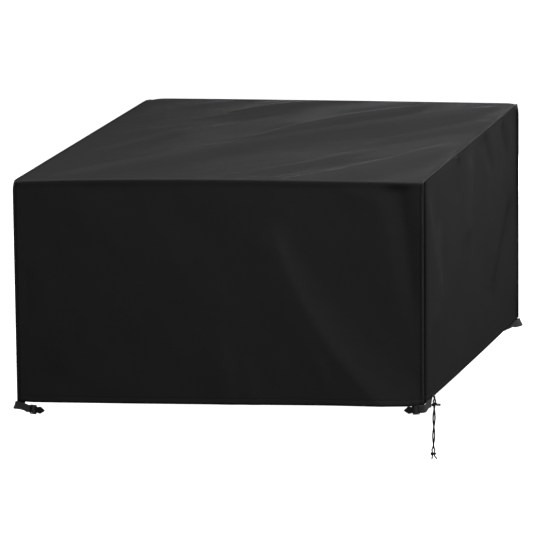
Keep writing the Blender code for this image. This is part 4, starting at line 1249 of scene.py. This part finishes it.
def rope(name, path, radius, slot, stands_for=(), braid=0.07, spacing=0.0010):
    """A braided cord along a path: two sets of strands cross over each other round it."""
    guide = [(point, Vector((1, 0, 0))) for point in path]
    points = [point for point, _ in curve_through(guide, spacing)]
    upward = Vector((0.3, 0.9, 0.2)).normalized()
    rings, cut = [], []
    run = 0.0
    for i, point in enumerate(points):
        if i:
            run += (point - points[i - 1]).length
        ahead = (points[min(i + 1, len(points) - 1)] - points[max(i - 1, 0)]).normalized()
        upward = (upward - upward.dot(ahead) * ahead).normalized()
        side = ahead.cross(upward)
        from_end = min(i, len(points) - 1 - i)
        tip = (0.62, 0.90, 1.0)[min(from_end, 2)]
        turn = 2 * math.pi * run / BRAID_PITCH
        for k in range(ROPE_SIDES):
            angle = 2 * math.pi * k / ROPE_SIDES
            over = max(math.cos(BRAID_STRANDS * angle + way * turn) for way in (-1, 1))
            r = radius * tip * (1 - braid * (1 - over))
            rings.append(point + r * (math.cos(angle) * side + math.sin(angle) * upward))
            cut.append((angle * radius, run))
    faces = tube_faces(len(points), ROPE_SIDES)
    piece = add_piece(name, rings, faces, cut, "cord", slot, stands_for)
    turn_faces_out(piece)
    return piece, [tuple(point) for point in points]


def wraps(z, radius, turns, tall, tilt, start):
    """A path that winds round both strands, tilted, with its last turn crossing the others."""
    steps = int(turns * 16)
    middle = strands_middle(z)
    path = []
    for i in range(steps + 1):
        share = i / steps
        angle = start + 2 * math.pi * turns * share
        lift = tall * (0.5 - share)
        cross = tall * 0.55 * float(bump(share - 0.86, 0.16))
        out = radius + 0.0011 * float(bump(share - 0.86, 0.14))
        if share < 0.06 or share > 0.97:
            out -= 0.0006
        path.append(middle + Vector((
            out * math.cos(angle), out * math.sin(angle),
            lift + cross + tilt * math.cos(angle - start) * out,
        )))
    return path


# ---------------------------------------------------------------------------------------------
# Camera, lights and stage
# ---------------------------------------------------------------------------------------------
CAMERA_PLACE = (3.936223, -13.413893, 2.612974)
CAMERA_YAW, CAMERA_PITCH, CAMERA_ROLL = 16.459481, 12.340569, -2.421561  # degrees
FOCAL_PIXELS, FRAME_PIXELS, SENSOR = 4300, 540, 36


def make_camera():
    yaw, pitch, roll = (math.radians(a) for a in (CAMERA_YAW, CAMERA_PITCH, CAMERA_ROLL))
    level = Vector((math.cos(yaw), math.sin(yaw), 0))
    ahead = Vector((-level.y * math.cos(pitch), level.x * math.cos(pitch), -math.sin(pitch)))
    above = level.cross(ahead)
    right = level * math.cos(roll) + above * math.sin(roll)
    up = above * math.cos(roll) - level * math.sin(roll)
    data = bpy.data.cameras.new("camera")
    data.sensor_width = SENSOR
    data.lens = FOCAL_PIXELS / FRAME_PIXELS * SENSOR
    data.clip_end = 100
    camera = bpy.data.objects.new("camera", data)
    turned = Matrix((right, up, -ahead)).transposed().to_4x4()
    camera.matrix_world = Matrix.Translation(CAMERA_PLACE) @ turned
    bpy.context.scene.collection.objects.link(camera)
    bpy.context.scene.camera = camera


Light = namedtuple("Light", "name place towards size power")
LIGHTS = (
    Light("overhead", (-0.9, 0, 4), (0, 0, 0), (4, 4), "overhead"),
    Light("right_side", (2.5, 0.6, 2.0), (0.6, 0.1, -0.3), (1.5, 1.5), "side"),
    Light("front_right", (2.6, -5.0, 2.9), (0.2, -0.6, -0.3), (2.0, 2.0), "front"),
    Light("left_fill", (-4.5, 0.5, -0.3), (-0.6, 0, -0.4), (2.5, 1.0), "fill"),
    Light("back_fill", (-0.5, 4.5, -0.3), (0, 0.6, -0.4), (2.5, 1.0), "fill"),
)


def add_light(light, power):
    data = bpy.data.lights.new(light.name, "AREA")
    data.shape = "RECTANGLE"
    data.size, data.size_y = light.size
    data.energy = power
    lamp = bpy.data.objects.new(light.name, data)
    lamp.location = light.place
    way = Vector(light.towards) - Vector(light.place)
    lamp.rotation_euler = way.to_track_quat("-Z", "Y").to_euler()
    lamp.visible_camera = False
    bpy.context.scene.collection.objects.link(lamp)


def make_world(strength):
    world = bpy.data.worlds.new("studio")
    world.use_nodes = True
    tree = world.node_tree
    background, backdrop = tree.nodes["Background"], tree.nodes.new("ShaderNodeBackground")
    background.inputs["Strength"].default_value = strength
    for white in (background, backdrop):
        white.inputs["Color"].default_value = (1, 1, 1, 1)
    seen = tree.nodes.new("ShaderNodeLightPath")
    mix = tree.nodes.new("ShaderNodeMixShader")
    tree.links.new(seen.outputs["Is Camera Ray"], mix.inputs[0])
    tree.links.new(background.outputs[0], mix.inputs[1])
    tree.links.new(backdrop.outputs[0], mix.inputs[2])
    tree.links.new(mix.outputs[0], tree.nodes["World Output"].inputs[0])
    bpy.context.scene.world = world


# ---------------------------------------------------------------------------------------------
# The add-on's classes
# ---------------------------------------------------------------------------------------------
class CoverCloth(bpy.types.PropertyGroup):
    colour: FloatVectorProperty(
        name="Colour", description="Colour of the coated cloth", subtype="COLOR", size=3,
        default=(0.026, 0.026, 0.027), min=0, max=1,
    )
    thickness: FloatProperty(
        name="Thickness", description="Thickness of the cloth", default=0.0010,
        min=0.0003, max=0.002, unit="LENGTH",
    )
    weave_pitch: FloatProperty(
        name="Weave pitch", description="Distance from one thread to the next", default=0.0011,
        min=0.0003, max=0.005, unit="LENGTH",
    )
    sheen: FloatProperty(
        name="Sheen", description="Soft light on the cloth's fibres", default=0.0, min=0, max=1,
    )
    seam_shadow: FloatProperty(
        name="Seam shadow", description="Width of the dark band beside an upright seam",
        default=0.022, min=0, max=0.05, unit="LENGTH",
    )


class CoverTrim(bpy.types.PropertyGroup):
    webbing_colour: FloatVectorProperty(
        name="Webbing", description="Colour of the straps", subtype="COLOR", size=3,
        default=(0.072, 0.072, 0.075), min=0, max=1,
    )
    cord_colour: FloatVectorProperty(
        name="Cord", description="Colour of the drawstring", subtype="COLOR", size=3,
        default=(0.008, 0.008, 0.008), min=0, max=1,
    )
    thread_colour: FloatVectorProperty(
        name="Thread", description="Colour of the stitches", subtype="COLOR", size=3,
        default=(0.020, 0.020, 0.021), min=0, max=1,
    )
    plastic_colour: FloatVectorProperty(
        name="Buckles", description="Colour of the plugs and sockets", subtype="COLOR", size=3,
        default=(0.022, 0.022, 0.023), min=0, max=1,
    )
    stitch_length: FloatProperty(
        name="Stitch length", description="Length of one stitch", default=0.0034,
        min=0.001, max=0.01, unit="LENGTH",
    )
    stitch_thickness: FloatProperty(
        name="Thread thickness", description="Thickness of the sewing thread", default=0.0006,
        min=0.0002, max=0.002, unit="LENGTH",
    )


class CoverSizes(bpy.types.PropertyGroup):
    across_pitch: FloatProperty(
        name="Across", description="Width of the main panel's faces", default=0.0106,
        min=0.005, max=0.05, unit="LENGTH",
    )
    front_pitch: FloatProperty(
        name="Front", description="Height of the front's faces", default=0.0095,
        min=0.005, max=0.05, unit="LENGTH",
    )
    top_pitch: FloatProperty(
        name="Top", description="Length of the top's faces", default=0.0092,
        min=0.005, max=0.05, unit="LENGTH",
    )
    back_pitch: FloatProperty(
        name="Back", description="Height of the back's faces", default=0.0135,
        min=0.005, max=0.05, unit="LENGTH",
    )
    end_pitch: FloatProperty(
        name="Ends", description="Size of the end panels' faces", default=0.0085,
        min=0.005, max=0.05, unit="LENGTH",
    )


class CoverStudio(bpy.types.PropertyGroup):
    floor: FloatProperty(
        name="Floor", description="Height of the studio floor", default=CAD_BOX[0][2] - 0.02,
        min=-5, max=5, unit="LENGTH",
    )
    sky: FloatProperty(
        name="Sky", description="Strength of the light from all round", default=0.02, min=0, max=5,
    )
    overhead: FloatProperty(
        name="Overhead", description="Power of the light over the cover", default=91.0,
        min=0, max=5000, unit="POWER",
    )
    side: FloatProperty(
        name="Side", description="Power of the light at the right", default=94.0,
        min=0, max=5000, unit="POWER",
    )
    front: FloatProperty(
        name="Front", description="Power of the light at the right front", default=150.0,
        min=0, max=5000, unit="POWER",
    )
    fill: FloatProperty(
        name="Fill", description="Power of the low lights behind and at the left", default=60.0,
        min=0, max=5000, unit="POWER",
    )


class COVER_OT_studio(bpy.types.Operator):
    """Make the camera, the lights and the floor"""

    bl_idname = "cover.studio"
    bl_label = "Studio"

    def execute(self, context):
        look = context.scene.cover_studio
        make_camera()
        make_world(look.sky)
        for light in LIGHTS:
            add_light(light, getattr(look, light.power))
        corners = [(x, y, look.floor) for x, y in ((-30, -30), (30, -30), (30, 30), (-30, 30))]
        mesh = bpy.data.meshes.new("floor")
        mesh.from_pydata(corners, [], [(0, 1, 2, 3)])
        mesh.materials.append(floor_finish())
        floor = bpy.data.objects.new("floor", mesh)
        floor.visible_diffuse = False
        floor.visible_glossy = False
        context.scene.collection.objects.link(floor)
        context.scene.view_settings.view_transform = "Standard"
        return {"FINISHED"}


class COVER_OT_drawstring(bpy.types.Operator):
    """Make the two strands, their knots and the stitched opening that they leave by"""

    bl_idname = "cover.drawstring"
    bl_label = "Drawstring"

    def execute(self, context):
        hitch_path = wraps(HITCH_Z, BORE + 0.0016, 2.2, 0.0058, 0.16, 0.4)
        hitch, _ = rope("drawstring_hitch", hitch_path, KNOT_CORD, "cord", ["cord_hitch"])
        middle = strands_middle(HITCH_Z)
        for hand, end in ((-1, "lower"), (1, "upper")):
            path = [
                middle + Vector((BORE + out, hand * aside, hand * up)) for out, aside, up in STUB
            ]
            stub, _ = rope(f"hitch_end_{end}", path, KNOT_CORD, "cord")
        knot_path = wraps(KNOT_Z, BORE + 0.0015, 3.1, 0.0084, -0.10, 2.0)
        knot, _ = rope("drawstring_knot", knot_path, KNOT_CORD, "cord", ["cord_knot"])
        turns = [2 * math.pi * i / HOLE_POINTS for i in range(HOLE_POINTS + 1)]
        hole = [
            cord_exit() + Vector((0.0014, HOLE_WIDE * math.cos(a), HOLE_TALL * math.sin(a)))
            for a in turns
        ]
        rope("cord_opening", hole, 0.0010, "coated_cloth", braid=0.25)
        for hand, name in ((-1, "left"), (1, "right")):
            strand, path = rope(
                f"drawstring_{name}", cord_route(hand), CORD / 2, "cord", [f"cord_{name}"]
            )
            tuple(cord_exit())
        return {"FINISHED"}


class COVER_OT_main_panel(bpy.types.Operator):
    """Make the long panel that is the front, the top and the back"""

    bl_idname = "cover.main_panel"
    bl_label = "Main panel"

    def execute(self, context):
        make_main_panel(context.scene.cover_cloth, context.scene.cover_sizes)
        return {"FINISHED"}


class COVER_OT_end_panels(bpy.types.Operator):
    """Make the two end panels and the welts on their seams"""

    bl_idname = "cover.end_panels"
    bl_label = "End panels"

    def execute(self, context):
        look, sizes = context.scene.cover_cloth, context.scene.cover_sizes
        for side in (LEFT, RIGHT):
            make_end_panel(side, look, sizes)
            make_welt(side, sizes)
        return {"FINISHED"}


class COVER_OT_stitching(bpy.types.Operator):
    """Sew the hems, the seams and the strap ends"""

    bl_idname = "cover.stitching"
    bl_label = "Stitching"

    def execute(self, context):
        look = context.scene.cover_trim
        half = WIDTH / 2 - 0.008
        hem = Stitches(look)
        across = np.arange(-half, half, 0.006)
        on_main(across, HEM_STITCH, hem)
        on_main(-across, CUT_LENGTH - HEM_STITCH, hem)
        for side in (LEFT, RIGHT):
            on_end(side, across, HEM_STITCH - DROP, hem)
        hem.made("hem_stitches")
        for side in (LEFT, RIGHT):
            seam = Stitches(look)
            on_main(SIGN[side] * (WIDTH / 2 - SEAM_STITCH), seam_runs(0.006)[2:-2], seam)
            seam.made(f"seam_stitches_{side}")
        tacks = Stitches(look)
        for strap in STRAPS:
            first, last = strap.route[0].along, strap.route[1].along
            sign = SIGN[strap.side]
            for height in (0.0055, 0.0085, 0.0165, 0.0190):
                along = np.linspace(first - 0.002, last + 0.004, 8)
                y = SIGN[strap.end] * (DEPTH / 2 - along)
                on_end(strap.side, y * sign, height - DROP, tacks)
        tacks.made("strap_tacks")
        return {"FINISHED"}


class COVER_OT_straps(bpy.types.Operator):
    """Make the four corner straps and their plugs"""

    bl_idname = "cover.straps"
    bl_label = "Corner straps"

    def execute(self, context):
        plug = plug_mesh()
        for strap in STRAPS:
            where = f"{strap.end}_{strap.side}"
            make_ribbon(f"corner_strap_{where}", strap_path(strap), f"strap_{where}")
            add_plastic(f"buckle_plug_{where}", plug, plug_matrix(strap), f"plug_{where}")
        bpy.data.meshes.remove(plug)
        return {"FINISHED"}


class COVER_OT_short_straps(bpy.types.Operator):
    """Make the four short straps inside the hem and their sockets"""

    bl_idname = "cover.short_straps"
    bl_label = "Short straps"

    def execute(self, context):
        socket = socket_mesh()
        for strap in STRAPS:
            corner = CornerFrame(strap.side, strap.end)
            where = f"{strap.end}_{strap.side}"
            placed = socket_matrix(corner, strap)
            make_ribbon(f"short_strap_{where}", tab_path(corner, strap), f"tab_{where}")
            add_plastic(f"buckle_socket_{where}", socket, placed, f"socket_{where}")
        bpy.data.meshes.remove(socket)
        return {"FINISHED"}


STEPS = (
    COVER_OT_studio, COVER_OT_drawstring, COVER_OT_main_panel, COVER_OT_end_panels,
    COVER_OT_stitching, COVER_OT_straps, COVER_OT_short_straps,
)
GROUPS = {
    "cover_cloth": CoverCloth, "cover_trim": CoverTrim, "cover_sizes": CoverSizes,
    "cover_studio": CoverStudio,
}


class COVER_PT_panel(bpy.types.Panel):
    """The cover's settings and the steps that build it"""

    bl_label = "Patio furniture cover"
    bl_idname = "COVER_PT_panel"
    bl_space_type = "VIEW_3D"
    bl_region_type = "UI"
    bl_category = "Cover"

    def draw(self, context):
        for name, group in GROUPS.items():
            box = self.layout.box()
            for setting in group.__annotations__:
                box.prop(getattr(context.scene, name), setting)
        for step in STEPS:
            self.layout.operator(step.bl_idname)


def register():
    for item in (*GROUPS.values(), *STEPS, COVER_PT_panel):
        bpy.utils.register_class(item)
    for name, group in GROUPS.items():
        setattr(bpy.types.Scene, name, PointerProperty(type=group))


def unregister():
    for name in GROUPS:
        delattr(bpy.types.Scene, name)
    for item in reversed((*GROUPS.values(), *STEPS, COVER_PT_panel)):
        bpy.utils.unregister_class(item)


def main():
    register()
    for step in STEPS:
        group, name = step.bl_idname.split(".")
        getattr(getattr(bpy.ops, group), name)()


if __name__ == "__main__":
    main()
